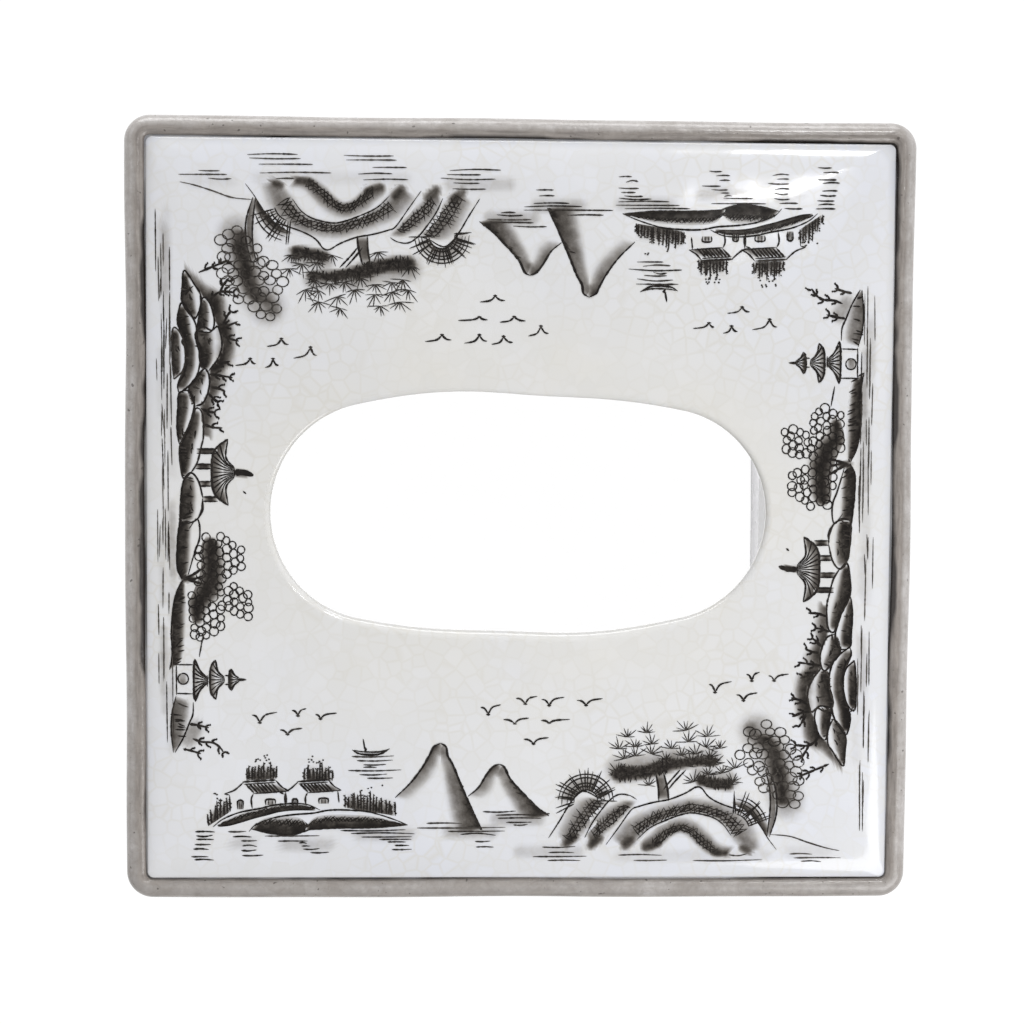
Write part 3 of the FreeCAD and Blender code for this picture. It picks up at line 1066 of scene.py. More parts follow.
def bushes(page):
    """Bushes behind the rocks."""
    grid_bush(page, 13.2, -56.3, 2.3, 6.0, 0.1, 3.3, 0.35)
    grid_bush(page, 41.5, -62.2, 3.4, 7.6, 0.3, 1.5, 0.6)
    page.shade([(40.6, -57.6), (44.0, -58.4), (46.4, -60.6), (48.4, -63.4)],
               [(42.0, -55.8), (45.4, -56.6), (47.6, -58.8), (49.2, -61.6)], 0.85)


def arched_rocks(page):
    """Leaning rocks and the large arched one, with dark feet."""
    rock(page,
         [(6.0, -63.3), (8.1, -60.0), (9.5, -57.6), (10.8, -55.7), (12.4, -54.3), (13.8, -54.5),
          (15.5, -55.5), (17.1, -56.0)],
         [(10.2, -64.9), (12.8, -62.1), (14.9, -59.6), (16.5, -57.3), (17.1, -55.9)],
         [(8.3, -63.7), (10.2, -60.2), (11.8, -57.8), (13.6, -56.1), (15.2, -55.5)], 0.4)
    rock(page,
         [(13.0, -63.3), (14.3, -60.6), (16.1, -58.0), (17.8, -56.0), (19.6, -54.9), (21.6, -55.1),
          (23.0, -55.9)],
         [(13.9, -65.2), (16.9, -62.5), (19.4, -60.2), (21.6, -57.8), (23.1, -56.1)],
         [(13.4, -63.5), (15.0, -60.8), (17.3, -58.6), (19.6, -57.1), (21.6, -55.9)], 0.4)
    arch_low = [(21.0, -65.6), (23.1, -63.7), (25.5, -61.5), (28.6, -60.0), (31.7, -58.9), (34.0, -58.6),
                (37.5, -59.4), (39.7, -60.8), (41.4, -63.1), (44.0, -66.4)]
    arch_high = [(18.8, -64.3), (21.2, -61.4), (23.9, -59.6), (27.8, -57.9), (31.7, -56.8),
                 (34.4, -56.6), (38.7, -57.4), (41.8, -59.0), (44.2, -61.4), (46.3, -66.2)]
    rock(page,
         [(17.1, -64.7), (19.4, -61.5), (21.9, -58.0), (23.3, -57.3), (26.2, -56.5), (29.4, -55.9),
          (32.5, -54.7), (34.4, -53.6), (35.6, -53.8), (37.0, -55.5), (39.5, -56.9), (43.4, -58.2),
          (45.2, -58.6), (46.7, -60.7), (48.5, -63.6), (50.2, -65.9)], arch_low, arch_high, 0.4)
    rock(page, arch_low[1:-1],
         [(23.7, -66.1), (26.2, -65.8), (28.2, -64.5), (29.7, -63.1), (31.5, -62.4), (33.3, -63.3),
          (35.2, -65.2), (38.3, -67.2), (40.7, -67.0)],
         [(23.5, -64.9), (25.7, -63.7), (27.6, -62.1), (29.4, -61.0), (31.7, -60.4), (34.4, -61.5),
          (36.8, -63.7), (39.1, -65.6), (41.8, -65.8)], 0.52)
    for path, width in (([(9.4, -64.4), (11.0, -63.2)], 1.2),
                        ([(14.2, -64.8), (15.8, -63.4)], 1.2),
                        ([(20.8, -65.0), (22.0, -63.8)], 1.2),
                        ([(25.0, -65.4), (27.2, -64.6)], 1.0),
                        ([(43.6, -65.6), (44.8, -66.2)], 1.0),
                        ([(38.0, -66.4), (40.4, -66.7)], 0.9)):
        page.wash(path, width, 0.55)
    page.line([(49.0, -62.9), (52.8, -63.3), (56.3, -64.5), (59.8, -65.6), (62.5, -66.2)], 0.28, 0.6)


def pine(page):
    """A pine with dark masses of needles and loose fans above them."""
    page.shade([(27.1, -56.1), (27.0, -53.6), (26.6, -51.0)],
               [(29.4, -56.1), (29.2, -53.8), (28.4, -51.0)], 0.5, 0.4)
    for side in (-1.0, 0.9):
        page.line([(28.3 + side, -56.2), (28.1 + side * 0.9, -53.6), (27.5 + side * 0.8, -50.8)], 0.42)
        page.line([(28.7 + side * 0.5, -54.0), (29.8 + side * 0.5, -52.6), (32.0 + side * 0.6, -50.2)])
    masses = ((1.7, 0.97, 70, [(19.4, -51.0), (21.8, -50.9), (25.0, -50.4), (27.8, -49.7), (29.4, -49.2)]),
              (1.2, 0.75, 30, [(30.6, -49.2), (33.0, -48.8), (36.0, -48.6), (37.8, -48.7)]),
              (1.3, 0.92, 24, [(35.4, -52.3), (38.0, -52.9), (40.8, -53.2)]))
    for width, dark, count, path in masses:
        page.wash(path, width, dark)
        page.wash([(x, y + 0.9) for x, y in path], 2.0 * width, 0.2 * dark)
        low = [(x, y - 0.8 * width) for x, y in path]
        strokes(page, low, [(x, y + 1.1 * width) for x, y in path], count, 0.93, 0.24)
        spine = smooth(path, 0.7)
        for x, y in spine + page.random.normal(0, 0.35 * width, spine.shape):
            needles(page, x, y, page.random.uniform(1.0, 1.6))
    fans = ((21.2, -43.8), (24.9, -43.0), (32.5, -42.6), (36.6, -43.8), (19.6, -46.1), (22.7, -45.7),
            (25.9, -45.2), (29.7, -46.1), (32.9, -44.8), (36.4, -45.9), (20.6, -48.0), (22.7, -47.5),
            (25.8, -47.1), (28.6, -48.3), (31.7, -47.5), (34.4, -47.2), (37.2, -47.8), (39.0, -46.1),
            (25.3, -53.2), (42.0, -50.0), (39.6, -50.9), (36.8, -51.2), (34.0, -52.6), (38.2, -52.8),
            (41.6, -52.6), (19.2, -50.6), (30.6, -49.4), (37.6, -49.4), (33.6, -48.8))
    for x, y in fans:
        needles(page, x, y, page.random.uniform(1.9, 2.6))


def lake_tree(page):
    """A leaf tree with a dark core on a thin trunk."""
    crown = [(44.2, -41.1), (47.7, -40.9), (50.8, -43.0), (53.1, -45.0), (55.3, -49.1), (55.1, -54.9),
             (54.9, -57.6), (51.2, -58.4), (49.8, -56.5), (48.5, -55.3), (46.9, -53.7), (45.0, -50.6),
             (42.4, -47.7), (44.6, -44.8), (43.6, -43.0)]
    leaf_cluster(page, [crown], 1.1, 0.88, 0.76, 0.22)
    page.wash([(46.2, -42.8), (49.0, -46.6), (50.6, -51.0), (52.0, -56.4)], 4.6, 0.2)
    core = [(47.2, -43.4), (49.0, -45.8), (49.8, -48.4), (50.4, -51.8), (51.0, -54.8), (50.6, -57.4)]
    right = [(49.6, -43.6), (51.6, -46.0), (52.6, -48.8), (53.2, -52.0), (54.0, -55.0), (53.6, -57.6)]
    left = [(45.0, -43.2), (46.6, -46.0), (47.4, -48.6), (48.4, -52.0), (49.2, -55.0), (49.4, -57.6)]
    page.shade(core, right, 0.8)
    page.shade(core, left, 0.7)
    page.wash([(45.0, -42.4), (46.6, -44.2)], 1.9, 0.3)
    page.shade([(48.9, -51.4), (49.6, -55.0), (49.9, -58.8), (48.8, -63.4)],
               [(48.2, -51.4), (48.9, -55.0), (48.9, -58.8), (48.4, -63.4)], 0.4, 0.3)
    page.line([(48.1, -50.8), (48.8, -54.1), (48.9, -58.0), (48.3, -63.4)], 0.32)
    page.line([(49.2, -51.4), (50.1, -55.0), (50.1, -59.0), (48.8, -63.4)], 0.32)


# Motifs of the shore scene


def shore_water(page):
    """Long level strokes and faint washes."""
    for _ in range(46):
        x = page.random.uniform(-58, 40)
        y = -page.random.choice((65.8, 66.4, 67.0, 67.5, 68.0, 68.5),
                                p=(0.2, 0.22, 0.2, 0.18, 0.12, 0.08))
        long = page.random.uniform(4.0, 12.0)
        page.line([(x - long / 2, y), (x + long / 2, y + page.random.normal(0, 0.12))],
                  page.random.uniform(0.16, 0.26), page.random.uniform(0.5, 0.8), (0.2, 0.4))
    for _ in range(16):
        x = page.random.uniform(-54, 36)
        y = -page.random.uniform(65.4, 67.8)
        long = page.random.uniform(3.0, 8.0)
        page.wash([(x - long, y), (x + long, y)], page.random.uniform(0.9, 1.7),
                  page.random.uniform(0.02, 0.06))


def ground(page):
    """Banks with ragged shade, under their contours."""
    contours = ((0.34, [(42.1, -65.5), (39.3, -63.9), (36.4, -62.7), (34.7, -62.0), (32.4, -61.9)]),
                (0.3, [(23.7, -60.7), (19.8, -60.0)]),
                (0.34, [(8.0, -62.7), (3.6, -61.4), (1.1, -60.5), (-1.7, -60.5), (-2.6, -61.1),
                        (-0.7, -62.5)]),
                (0.34, [(-2.4, -60.9), (-4.4, -59.8), (-6.4, -59.9)]))
    for thick, path in contours:
        page.line(path, thick)
    banks = (([(26.2, -66.4), (23.0, -65.9), (18.8, -66.0), (14.9, -65.7), (11.7, -65.1), (9.1, -63.9)],
              [(24.8, -64.0), (21.6, -63.5), (18.1, -63.2), (14.5, -63.0), (11.7, -63.1), (9.2, -63.3)],
              0.95, 34),
             ([(8.9, -63.9), (6.8, -64.8), (3.2, -64.8), (-0.3, -64.5), (-3.8, -64.0), (-7.4, -63.9)],
              [(8.0, -62.8), (6.0, -62.2), (3.2, -62.0), (-0.3, -61.9), (-3.8, -61.4), (-7.4, -61.3)],
              0.95, 26),
             ([(42.1, -65.8), (38.0, -66.2), (34.5, -66.0), (31.2, -65.2)],
              [(41.5, -64.6), (38.0, -63.2), (34.7, -62.3), (32.0, -62.3)], 0.5, 8))
    for low, high, dark, count in banks:
        deep_shade(page, low, between(low, high, 0.45), high, dark, 0.75 * dark)
        strokes(page, low, high, count, 0.9, 0.34, 1.0)
        page.line(low, 0.34)


def pagoda(page):
    """A pagoda with three fan roofs and a round door."""
    for wall in ([(30.8, -61.9), (30.7, -65.2)],
                 [(25.2, -61.5), (25.2, -65.2)],
                 [(31.0, -65.1), (25.0, -65.1)]):
        page.line(wall, 0.3)
    page.shade([(28.8, -64.9), (28.8, -63.0)], [(27.0, -64.9), (27.0, -63.0)], 0.6, 0.35)
    round_leaf(page, 27.9, -63.8, 1.05, 1.0)
    fan_roof(page, 28.2, -59.2, 4.1, 2.6, 0.3, 8, 0.25)
    fan_roof(page, 28.1, -56.0, 3.8, 2.7, 1.1, 7, 0.4)
    fan_roof(page, 28.1, -53.1, 2.1, 2.0, 0.5, 5, 0.85)
    page.line([(27.2, -59.2), (29.4, -59.2)], 0.34)
    for x in (29.0, 27.3):
        page.line([(x, -55.9), (x, -55.1)])
    page.line([(28.1, -53.4), (28.1, -51.8)], 0.6, 0.95, (0.1, 0.7))


def shore_tree(page):
    """A leaf tree with one wide crown, darkest along its core."""
    crown = [(20.4, -60.0), (18.2, -62.8), (14.2, -63.1), (11.4, -62.2), (8.2, -61.0), (5.7, -60.6),
             (2.5, -60.6), (0.2, -59.2), (0.4, -55.4), (2.0, -53.0), (5.6, -51.8), (8.2, -54.4),
             (8.9, -56.6), (9.6, -54.6), (10.0, -51.6), (13.0, -50.8), (16.4, -51.0), (15.8, -54.6),
             (15.2, -56.6), (18.0, -56.4), (19.8, -58.4)]
    leaf_cluster(page, [crown], 0.84, 0.97)
    low = [(17.4, -61.8), (13.8, -62.7), (11.4, -61.8), (8.2, -60.6), (5.7, -60.2), (2.5, -60.2),
           (0.6, -59.2)]
    high = [(17.7, -60.0), (14.5, -58.6), (12.1, -56.2), (9.2, -55.3), (6.4, -55.4), (3.6, -55.7),
            (0.9, -57.0)]
    core = between(low, high, 0.4)
    page.shade(core, low, 0.9, 0.3)
    page.shade(core, high, 0.9)
    page.line([(8.7, -63.4), (9.3, -61.6), (9.8, -59.6)], 0.5)
    page.line([(8.7, -63.4), (7.8, -61.5), (6.6, -59.7)], 0.5)
    page.line([(9.0, -62.4), (8.6, -61.0), (8.2, -59.8)], 0.4)
    page.wash([(8.7, -63.5), (8.7, -62.2)], 0.8, 0.9)


def pavilion(page):
    """An open pavilion on four posts."""
    fan_roof(page, -11.5, -53.8, 6.3, 4.3, 3.1, 11, 0.6)
    page.line([(-11.4, -53.8), (-11.5, -52.2), (-10.9, -50.2)], 1.0, 0.98, (0.1, 0.3))
    page.wash([(-11.4, -53.4), (-11.2, -51.6)], 0.7, 0.9)
    page.line([(-7.9, -52.2), (-7.4, -51.6)], 0.4)
    for x, top, foot in ((-6.4, -57.0, -59.8), (-9.3, -58.0, -60.5), (-12.6, -58.0, -61.2),
                         (-15.5, -57.0, -60.9)):
        page.shade([(x - 0.42, top), (x - 0.42, foot)], [(x + 0.42, top), (x + 0.42, foot)], 0.85, 0.6)
        for side in (-0.42, 0.42):
            page.line([(x + side, top), (x + side, foot)])


def cliff(page):
    """Boulders, with a haze behind them that fades away from their ridge."""
    crags = (([(-6.6, -59.8), (-4.2, -60.1), (-2.3, -61.3), (-2.1, -63.9), (-6.2, -64.0), (-10.0, -63.4),
               (-11.4, -62.0), (-9.8, -60.6)], 0.75),
             ([(-11.4, -62.0), (-10.3, -63.4), (-12.4, -63.9), (-15.8, -64.2), (-18.2, -63.4),
               (-20.9, -62.0), (-23.6, -61.0), (-22.6, -59.8), (-18.5, -59.6), (-16.5, -60.0),
               (-13.4, -60.8)], 0.85),
             ([(-16.8, -64.2), (-19.9, -64.6), (-24.0, -64.4), (-26.4, -64.2), (-26.9, -62.3),
               (-24.7, -61.3), (-22.3, -61.7), (-18.5, -63.0)], 0.8),
             ([(-24.0, -61.1), (-27.4, -62.3), (-29.1, -61.0), (-31.1, -59.3), (-29.4, -58.4),
               (-27.0, -58.6), (-24.7, -59.6)], 0.65),
             ([(-26.5, -64.2), (-28.1, -64.4), (-30.1, -63.2), (-32.8, -62.9), (-35.6, -63.0),
               (-37.6, -63.4), (-40.0, -64.4), (-43.4, -63.7), (-42.7, -62.7), (-39.7, -61.0),
               (-36.6, -60.6), (-34.6, -60.0), (-30.5, -60.5), (-28.1, -62.0)], 0.8),
             ([(-29.1, -65.1), (-32.8, -65.4), (-38.0, -65.4), (-38.8, -64.7), (-36.9, -63.4),
               (-33.5, -62.9), (-30.8, -63.4)], 0.75),
             ([(-30.6, -58.6), (-32.2, -60.1), (-34.6, -60.3), (-37.6, -61.0), (-39.0, -59.6),
               (-38.3, -57.9), (-39.0, -56.7), (-35.6, -56.0), (-32.8, -56.9)], 0.8),
             ([(-38.3, -60.8), (-40.7, -60.3), (-44.4, -59.6), (-43.4, -58.2), (-40.0, -57.4),
               (-38.0, -58.2)], 0.75),
             ([(-40.4, -61.0), (-43.4, -63.4), (-46.5, -63.4), (-49.6, -63.0), (-46.8, -61.0),
               (-45.1, -60.0), (-42.4, -60.1)], 0.7))
    for x, y, size in ((-22.6, -58.6, 1.8), (-29.4, -56.8, 2.2), (-34.0, -55.4, 2.4),
                       (-38.2, -55.4, 2.2)):
        page.wash([(x - 0.8, y), (x + 0.8, y)], size, 0.22)
    ridge = [(-18.5, -59.4), (-22.6, -59.7), (-24.7, -59.5), (-27.0, -58.5), (-29.4, -58.3),
             (-30.8, -58.4), (-32.8, -56.8), (-35.6, -55.9), (-39.0, -56.6), (-40.0, -57.3),
             (-43.4, -58.1), (-45.1, -59.9), (-46.8, -60.9), (-49.6, -62.9)]
    sky = [(-52.4, -61.0), (-51.0, -54.0), (-44.0, -51.0), (-34.0, -50.6), (-24.0, -53.4),
           (-17.0, -56.4)]
    page.wash(ridge[:7], (1.9, 2.7), (0.45, 0.72), ridge + sky)
    page.wash(ridge[6:11], (2.7, 3.3), (0.72, 0.66), ridge + sky)
    page.wash(ridge[10:], (3.3, 0.9), (0.66, 0.4), ridge + sky)
    for boulder in crags:
        crag(page, *boulder)


def twigs(page):
    """Bare twigs along the cliff and beside the pagoda."""
    page.wash([(39.4, -62.8), (37.4, -61.6)], 2.2, 0.2)
    for path in ([(-20.6, -59.6), (-20.0, -57.8), (-19.9, -56.0)],
                 [(-23.6, -60.1), (-23.0, -58.6), (-22.8, -57.2)],
                 [(-27.6, -58.2), (-27.4, -56.8), (-26.8, -55.4)],
                 [(-26.4, -58.6), (-25.2, -57.4), (-24.7, -56.6)],
                 [(-30.1, -58.6), (-29.8, -56.4), (-29.4, -54.0)],
                 [(-31.1, -57.9), (-32.0, -56.2), (-32.5, -54.5)],
                 [(-37.6, -56.0), (-36.8, -54.6), (-36.3, -52.8)],
                 [(-39.0, -56.9), (-39.2, -55.0), (-40.0, -53.0)],
                 [(-39.4, -55.8), (-41.0, -55.0), (-42.1, -54.2)],
                 [(-43.6, -58.6), (-45.5, -56.5), (-45.5, -53.5)],
                 [(-45.4, -56.4), (-46.9, -55.6), (-48.2, -54.6)],
                 [(-49.2, -60.3), (-50.2, -57.9), (-51.6, -54.5)],
                 [(39.4, -62.1), (40.0, -60.4), (40.2, -58.2), (41.2, -56.8), (42.3, -56.1)],
                 [(41.4, -63.9), (41.7, -62.5), (42.3, -60.5)],
                 [(36.6, -62.7), (36.8, -61.1), (37.3, -59.0)]):
        sprig(page, path)


scene_lake = (gulls, boat, village, islet, peaks, lake_water, bushes, arched_rocks, pine, lake_tree)
scene_shore = (shore_water, ground, pagoda, shore_tree, pavilion, cliff, twigs)


def paint(page, scene, turn, shift, scale=1.0):
    """Draws the motifs of a scene, turned and moved to their place on the page."""
    page.turn = math.radians(turn)
    page.shift = np.array(shift)
    page.scale = scale
    for draw in scene:
        draw(page)


# Materials


class Nodes:
    """The node tree of a material or the world, with short calls to add to it."""

    def __init__(self, owner):
        owner.use_nodes = True
        self.owner = owner
        self.tree = owner.node_tree
        self.shader = self.tree.nodes.get("Principled BSDF")

    def put(self, node, values):
        """Sets sockets of a node to plain values, or links them to other nodes."""
        for name, value in values.items():
            if isinstance(value, (float, tuple)):
                node.inputs[name].default_value = value
            else:
                self.tree.links.new(value, node.inputs[name])

    def add(self, kind, values, **settings):
        node = self.tree.nodes.new("ShaderNode" + kind)
        for name, value in settings.items():
            setattr(node, name, value)
        self.put(node, values)
        return node

    def place(self):
        return self.add("TexCoord", {}).outputs["Object"]

    def noise(self, scale, detail=3.0, rough=0.5, vector=None):
        place = self.place() if vector is None else vector
        values = {"Vector": place, "Scale": scale, "Detail": detail, "Roughness": rough}
        return self.add("TexNoise", values).outputs["Fac"]

    def range(self, value, low, high, to_low=0.0, to_high=1.0):
        values = {"Value": value, "From Min": low, "From Max": high, "To Min": to_low, "To Max": to_high}
        return self.add("MapRange", values, clamp=True).outputs["Result"]

    def math(self, operation, first, second):
        return self.add("Math", {0: first, 1: second}, operation=operation).outputs[0]

    def times(self, first, second):
        return self.math("MULTIPLY", first, second)

    def mix(self, share, first, second):
        return self.add("Mix", {0: share, 6: first, 7: second}, data_type="RGBA").outputs[2]

    def attribute(self, name):
        return self.add("Attribute", {}, attribute_name=name).outputs["Fac"]

    def cells(self, scale, place, feature):
        return self.add("TexVoronoi", {"Vector": place, "Scale": scale}, feature=feature)

    def crackle(self, scale, width, bend):
        """Fine craze lines in the glaze, 1 on a line."""
        shake = self.add("TexNoise", {"Vector": self.place(), "Scale": scale * 0.6, "Detail": 1.0})
        moved = {0: shake.outputs["Color"], 1: (bend,) * 3, 2: self.place()}
        offset = self.add("VectorMath", moved, operation="MULTIPLY_ADD")
        cells = self.cells(scale, offset.outputs[0], "DISTANCE_TO_EDGE")
        return self.range(cells.outputs["Distance"], 0.0, width, 1.0, 0.0)

    def seen(self):
        """1 for rays from the camera, in mirrors and through glass, which see the white background."""
        rays = self.add("LightPath", {})
        mirrored = self.math("MAXIMUM", rays.outputs["Is Glossy Ray"],
                             rays.outputs["Is Transmission Ray"])
        return self.math("MAXIMUM", rays.outputs["Is Camera Ray"], mirrored)

    def bump(self, height, strength, distance):
        node = self.add("Bump", {"Height": height, "Strength": strength, "Distance": distance})
        self.put(self.shader, {"Normal": node.outputs["Normal"]})

    def finish(self, colour, roughness, coat, coat_roughness):
        self.put(self.shader, {"Base Color": colour, "Roughness": roughness,
                               "Coat Weight": coat, "Coat Roughness": coat_roughness})
        return self.owner


def new_nodes(name):
    """The nodes of a new material."""
    return Nodes(bpy.data.materials.new(name))


def ink_colour(nodes, amount, ground):
    """Ink on a ground: it darkens by density, brown where thin."""
    warm = nodes.mix(nodes.range(amount, 0.0, 0.6), ground, rgb(223, 208, 191))
    return nodes.mix(nodes.math("POWER", ink_clearness, amount), rgb(14, 12, 13), warm)


def dull(nodes, ink):
    """Less mirror on dense ink."""
    shine = nodes.range(ink, 0.1, 0.8, 1.0, 0.12)
    nodes.put(nodes.shader, {"Specular IOR Level": nodes.times(shine, 0.5),
                             "Coat Weight": nodes.times(shine, 0.4)})


def make_glaze():
    """Crackle glaze with cream patches, craze lines, washes of ink, dark grooves and painted shade on the
    rolled edge.
    """
    nodes = new_nodes("crackle_glaze_paint")
    tone = nodes.range(nodes.noise(26.0, 2.0), 0.35, 0.65)
    cool = nodes.mix(tone, rgb(229, 231, 238), rgb(235, 236, 240))
    patch = nodes.range(nodes.noise(60.0), 0.3, 0.7, 0.35, 1.0)
    body = nodes.mix(nodes.times(nodes.attribute("cream"), patch), cool, rgb(233, 230, 221))
    # Painted shade: the rolled edge turns grey-blue where the rim number is set
    body = nodes.mix(nodes.attribute("rim"), body, rgb(178, 181, 190))
    cells = nodes.cells(360.0, nodes.place(), "F1")
    body = nodes.mix(nodes.range(cells.outputs["Color"], 0.2, 0.8, 0.0, 0.35), body, rgb(226, 225, 221))
    fine = nodes.crackle(360.0, 0.12, 0.0)
    patch = nodes.range(nodes.noise(45.0, 2.0), 0.36, 0.64, 0.05, 0.36)
    body = nodes.mix(nodes.times(fine, patch), body, rgb(216, 211, 198))
    grain = nodes.range(nodes.noise(480.0, 4.0, 0.65), 0.33, 0.67, 0.76, 1.22)
    ink = nodes.times(nodes.attribute("ink"), grain)
    body = ink_colour(nodes, ink, body)
    edge = nodes.times(nodes.attribute("edge"), nodes.range(nodes.noise(34.0), 0.38, 0.58, 0.25, 1.0))
    body = nodes.mix(edge, body, rgb(30, 26, 23))
    nodes.bump(nodes.noise(120.0, 1.0), 0.06, 0.002)
    dull(nodes, ink)
    return nodes.finish(body, 0.12, 0.4, 0.03)


def make_ink():
    """Brush ink, grainy and dense."""
    nodes = new_nodes("brush_ink")
    grain = nodes.range(nodes.noise(1400.0, 2.0), 0.3, 0.7, 0.85, 1.08)
    ink = nodes.times(nodes.attribute("ink"), grain)
    dull(nodes, ink)
    return nodes.finish(ink_colour(nodes, ink, rgb(226, 226, 228)), 0.12, 0.4, 0.03)


def make_bead():
    """Grey iron wash with streaks, specks and pits, dark in the grooves and pale inside, with painted
    light and shade by side of the cover.
    """
    nodes = new_nodes("bead_wash_speckle")
    cloud = nodes.range(nodes.noise(190.0, 5.0, 0.7), 0.34, 0.66)
    body = nodes.mix(cloud, rgb(178, 173, 169), rgb(212, 209, 208))
    course = nodes.add("CombineXYZ", {"X": nodes.times(nodes.attribute("along"), 0.16),
                                      "Y": nodes.times(nodes.attribute("across"), 1.25)})
    streak = nodes.range(nodes.noise(1.0, 5.0, 0.65, course.outputs["Vector"]), 0.34, 0.66)
    body = nodes.mix(nodes.times(streak, 0.4), body, rgb(146, 137, 130))
    grain = nodes.range(nodes.noise(800.0, 3.0, 0.7), 0.35, 0.65, 0.0, 0.3)
    body = nodes.mix(grain, body, rgb(142, 134, 128))
    # Pooling in the grooves, together with the painted light and shade by side of the cover
    pool = nodes.attribute("pool")
    ragged = nodes.times(pool, nodes.range(nodes.noise(70.0, 5.0, 0.65), 0.36, 0.62, 0.7, 1.2))
    inner_half = nodes.mix(streak, rgb(106, 97, 90), rgb(156, 148, 141))
    body = nodes.mix(nodes.range(ragged, 0.06, 0.36, 0.0, 0.8), body, inner_half)
    stretch = nodes.times(pool, nodes.range(nodes.noise(48.0, 3.0), 0.36, 0.6, 0.6, 1.2))
    body = nodes.mix(nodes.range(stretch, 0.64, 0.84), body, rgb(42, 35, 31))
    pits = nodes.range(nodes.noise(950.0, 1.0), 0.24, 0.29, 1.0, 0.0)
    body = nodes.mix(nodes.times(pits, 0.7), body, rgb(58, 50, 44))
    craze = nodes.crackle(300.0, 0.035, 0.002)
    body = nodes.mix(nodes.times(craze, 0.1), body, rgb(96, 87, 78))
    body = nodes.mix(nodes.range(pool, -0.1, -0.6), body, rgb(228, 227, 230))
    nodes.bump(nodes.noise(420.0, 3.0), 0.2, 0.0012)
    rough = nodes.range(nodes.noise(90.0), 0.3, 0.7, 0.2, 0.36)
    return nodes.finish(body, rough, 0.25, 0.1)


def make_inner():
    """Plain glaze of the inside."""
    nodes = new_nodes("inner_glaze_wash")
    tone = nodes.range(nodes.noise(40.0, 3.0), 0.3, 0.7)
    body = nodes.mix(tone, rgb(219, 219, 224), rgb(233, 232, 235))
    craze = nodes.crackle(210.0, 0.03, 0.002)
    body = nodes.mix(nodes.times(craze, 0.35), body, rgb(200, 192, 176))
    nodes.bump(nodes.noise(160.0, 2.0), 0.12, 0.0015)
    return nodes.finish(body, 0.2, 0.2, 0.08)


def dress(thing, material):
    """Gives a piece its only material."""
    thing.data.materials.clear()
    thing.data.materials.append(material)


# Faces and their paintings
sides = ("front", "right", "back", "left")
faces = {"top": Face("top", (0, 0, slab_face_height), (1, 0, 0), (0, 1, 0), crown_reach, crown_reach,
                     top_seed)}
for number, name in enumerate(sides):
    across = ((1, 0, 0), (0, 1, 0), (-1, 0, 0), (0, -1, 0))[number]
    origin = (across[1] * slab_face_reach, -across[0] * slab_face_reach, wall_middle)
    faces[name] = Face(name, origin, across, (0, 0, 1), crown_reach, wall_half_height, wall_seed + number)
pages = {name: Page(number) for number, name in enumerate(faces, page_seed)}
top_scale = np.array([0.99, 0.9987])
top_turn = 0.33
near_shift = (-0.64, 0.51)
far_shift = (-1.84, -3.8)
paint(pages["top"], scene_lake, top_turn, near_shift, top_scale)
paint(pages["top"], scene_lake, 180 + top_turn, far_shift, top_scale)
far_water = ((40.4, 49.9, -71.5), (39.8, 49.5, -70.7), (37.5, 47.7, -69.6), (22.3, 31.7, -71.3),
             (21.7, 31.3, -70.5), (19.8, 26.3, -69.1), (2.0, 11.7, -68.7), (-61.1, -58.4, -69.5),
             (-62.5, -59.4, -68.6), (-52.9, -49.7, -68.1), (-52.9, -50.5, -67.3), (-40.1, -37.6, -68.7),
             (-41.6, -38.9, -67.9), (-41.6, -39.5, -67.0), (-22.9, -20.4, -67.6), (-24.1, -21.7, -66.7))
ripples(pages["top"], far_water, 0.75, 0.28)
paint(pages["top"], scene_shore, 90 + top_turn, near_shift, top_scale)
paint(pages["top"], scene_shore, top_turn - 90, (near_shift[0], far_shift[1]), top_scale)
wall_lift = 8.0
for name in ("front", "back"):
    paint(pages[name], scene_lake, 0, (0, wall_lift))
for name in ("right", "left"):
    paint(pages[name], scene_shore, 0, (0, wall_lift))

glaze = make_glaze()
ink = make_ink()
bead_wash = make_bead()
inner = make_inner()

dress(build_top(faces["top"], pages["top"]), glaze)
for name in sides:
    dress(build_wall(faces[name], pages[name]), glaze)
for name, face in faces.items():
    dress(pages[name].shades(face), glaze)
    dress(pages[name].ribbons(face), ink)

for kind, section, closed, seed in (("top_bead", bead_section(), False, top_bead_seed),
                                    ("base_bead", base_section(), True, base_bead_seed)):
    solids = [kind + "_" + side for side in sides]
    dress(sweep(kind + "_skin", section, closed, "bead_wash", solids, seed), bead_wash)
for number, (name, x, y) in enumerate((("front_right", 1, -1), ("back_right", 1, 1),
                                       ("back_left", -1, 1), ("front_left", -1, -1))):
    dress(build_corner(name, x, y, corner_seed + number), bead_wash)
for name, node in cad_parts.items():
    if "coil" in name:
        dress(node, inner)

# Stage
floor_half = 3.0
floor_mesh = bpy.data.meshes.new("floor")
floor_corners = [(x * floor_half, y * floor_half, 0) for x, y in ((-1, -1), (1, -1), (1, 1), (-1, 1))]
floor_mesh.from_pydata(floor_corners, [], [(0, 1, 2, 3)])
floor = bpy.data.objects.new("floor", floor_mesh)
bpy.context.scene.collection.objects.link(floor)


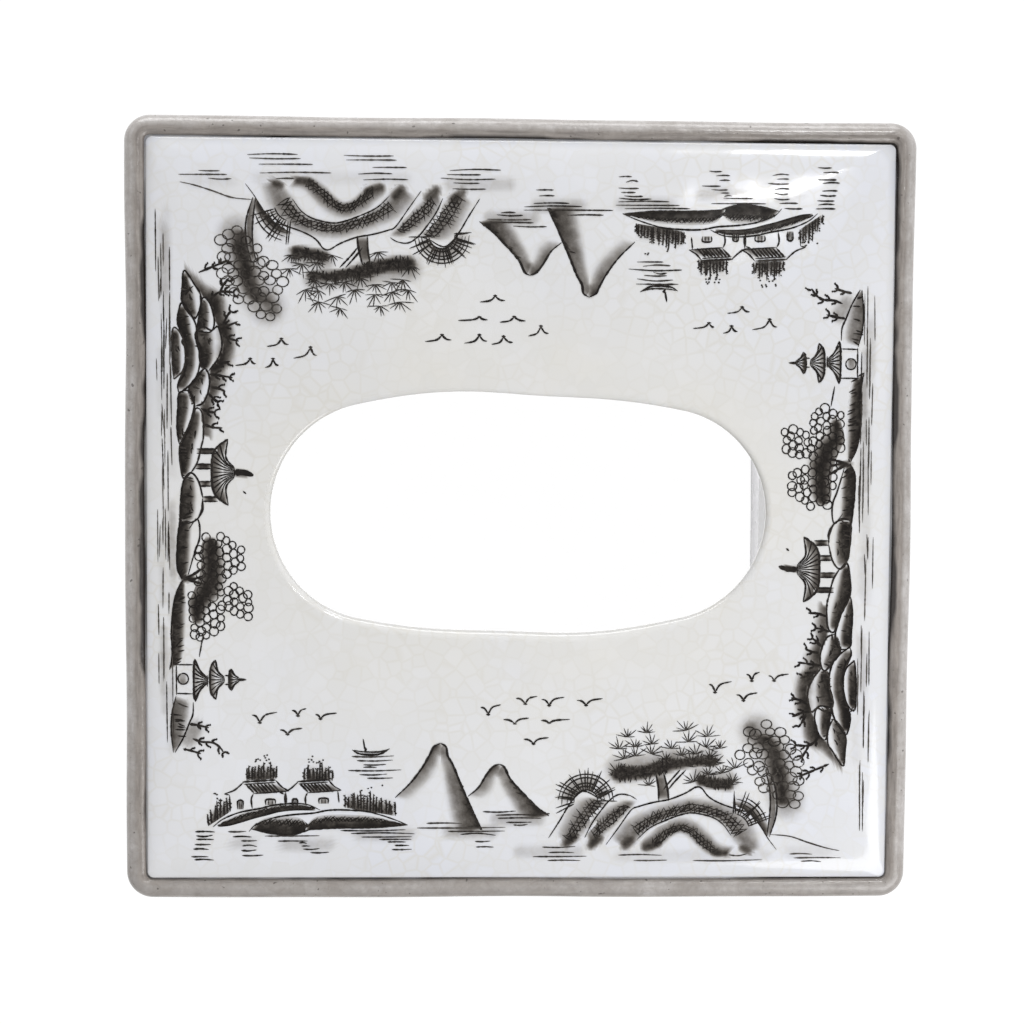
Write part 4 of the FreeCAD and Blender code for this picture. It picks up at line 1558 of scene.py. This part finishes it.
def make_floor():
    """White floor that keeps a soft shadow."""
    nodes = new_nodes("floor_white")
    nodes.tree.nodes.clear()
    plain = nodes.add("BsdfDiffuse", {"Color": (0.8, 0.8, 0.8, 1.0)})
    dim = nodes.add("BsdfDiffuse", {"Color": (0.1, 0.1, 0.1, 1.0)})
    glow = nodes.add("Emission", {"Strength": 0.965})
    lit = nodes.add("AddShader", {0: dim.outputs[0], 1: glow.outputs[0]})
    choose = nodes.add("MixShader", {0: nodes.seen(), 1: plain.outputs[0], 2: lit.outputs[0]})
    nodes.add("OutputMaterial", {"Surface": choose.outputs[0]})
    return nodes.owner


dress(floor, make_floor())

world = bpy.data.worlds.new("studio")
world_light = 0.5
bpy.context.scene.world = world
sky = Nodes(world)
level = sky.range(sky.seen(), 0.0, 1.0, world_light, 1.0)
sky.put(sky.tree.nodes["Background"], {"Color": (1.0, 1.0, 1.0, 1.0), "Strength": level})


def softbox(name, spot, wide, tall, watts, roll=0.0):
    """A rectangular lamp that points at the middle of the top."""
    lamp = bpy.data.lights.new(name, "AREA")
    lamp.shape = "RECTANGLE"
    lamp.size = wide
    lamp.size_y = tall
    lamp.energy = watts
    holder = bpy.data.objects.new(name, lamp)
    facing = (Vector(lamp_aim) - Vector(spot)).to_track_quat("-Z", "Y").to_matrix()
    facing = facing @ Matrix.Rotation(math.radians(roll), 3, "Z")
    holder.matrix_world = Matrix.Translation(spot) @ facing.to_4x4()
    bpy.context.scene.collection.objects.link(holder)


lamp_aim = (0, 0, 0.14)
softbox("key", (0.40, 1.05, 1.44), 0.16, 0.2, 3.5)
softbox("sheen_flat", (0.262, 0.262, 1.44), 0.06, 0.022, 0.1, 75)
softbox("sheen_roll", (0.321, 0.369, 1.44), 0.22, 0.05, 0.66, 107)
softbox("overhead", (-0.1, 1.3, 0.35), 1.6, 0.5, 10.0)
softbox("fill", (0.26, -0.26, 0.40), 0.3, 0.25, 0.8)
softbox("inside", (0, 0, 0.0006), 0.132, 0.132, 0.045)

# Camera above the cover, a little towards its back and left
face_height = slab_face_height * mm
eye_distance = 0.330
frame_span = 0.19443
camera_roll = math.radians(0.382)
eye_offset = (-0.0120, 0.0150)
aim_offset = (-0.00167, 0.00003)
eye = Vector((*eye_offset, face_height + eye_distance))
aim = Vector((*aim_offset, face_height))
camera_data = bpy.data.cameras.new("camera")
camera_data.sensor_width = 36.0
camera_data.lens = camera_data.sensor_width * eye_distance / frame_span
camera = bpy.data.objects.new("camera", camera_data)
bpy.context.scene.collection.objects.link(camera)
look = (eye - aim).normalized()
side = Vector((0, 1, 0)).cross(look).normalized()
facing = Matrix((side, look.cross(side), look)).transposed() @ Matrix.Rotation(camera_roll, 3, "Z")
camera.matrix_world = Matrix.Translation(eye) @ facing.to_4x4()
bpy.context.scene.camera = camera
bpy.context.scene.view_settings.view_transform = "Standard"

bpy.context.view_layer.update()
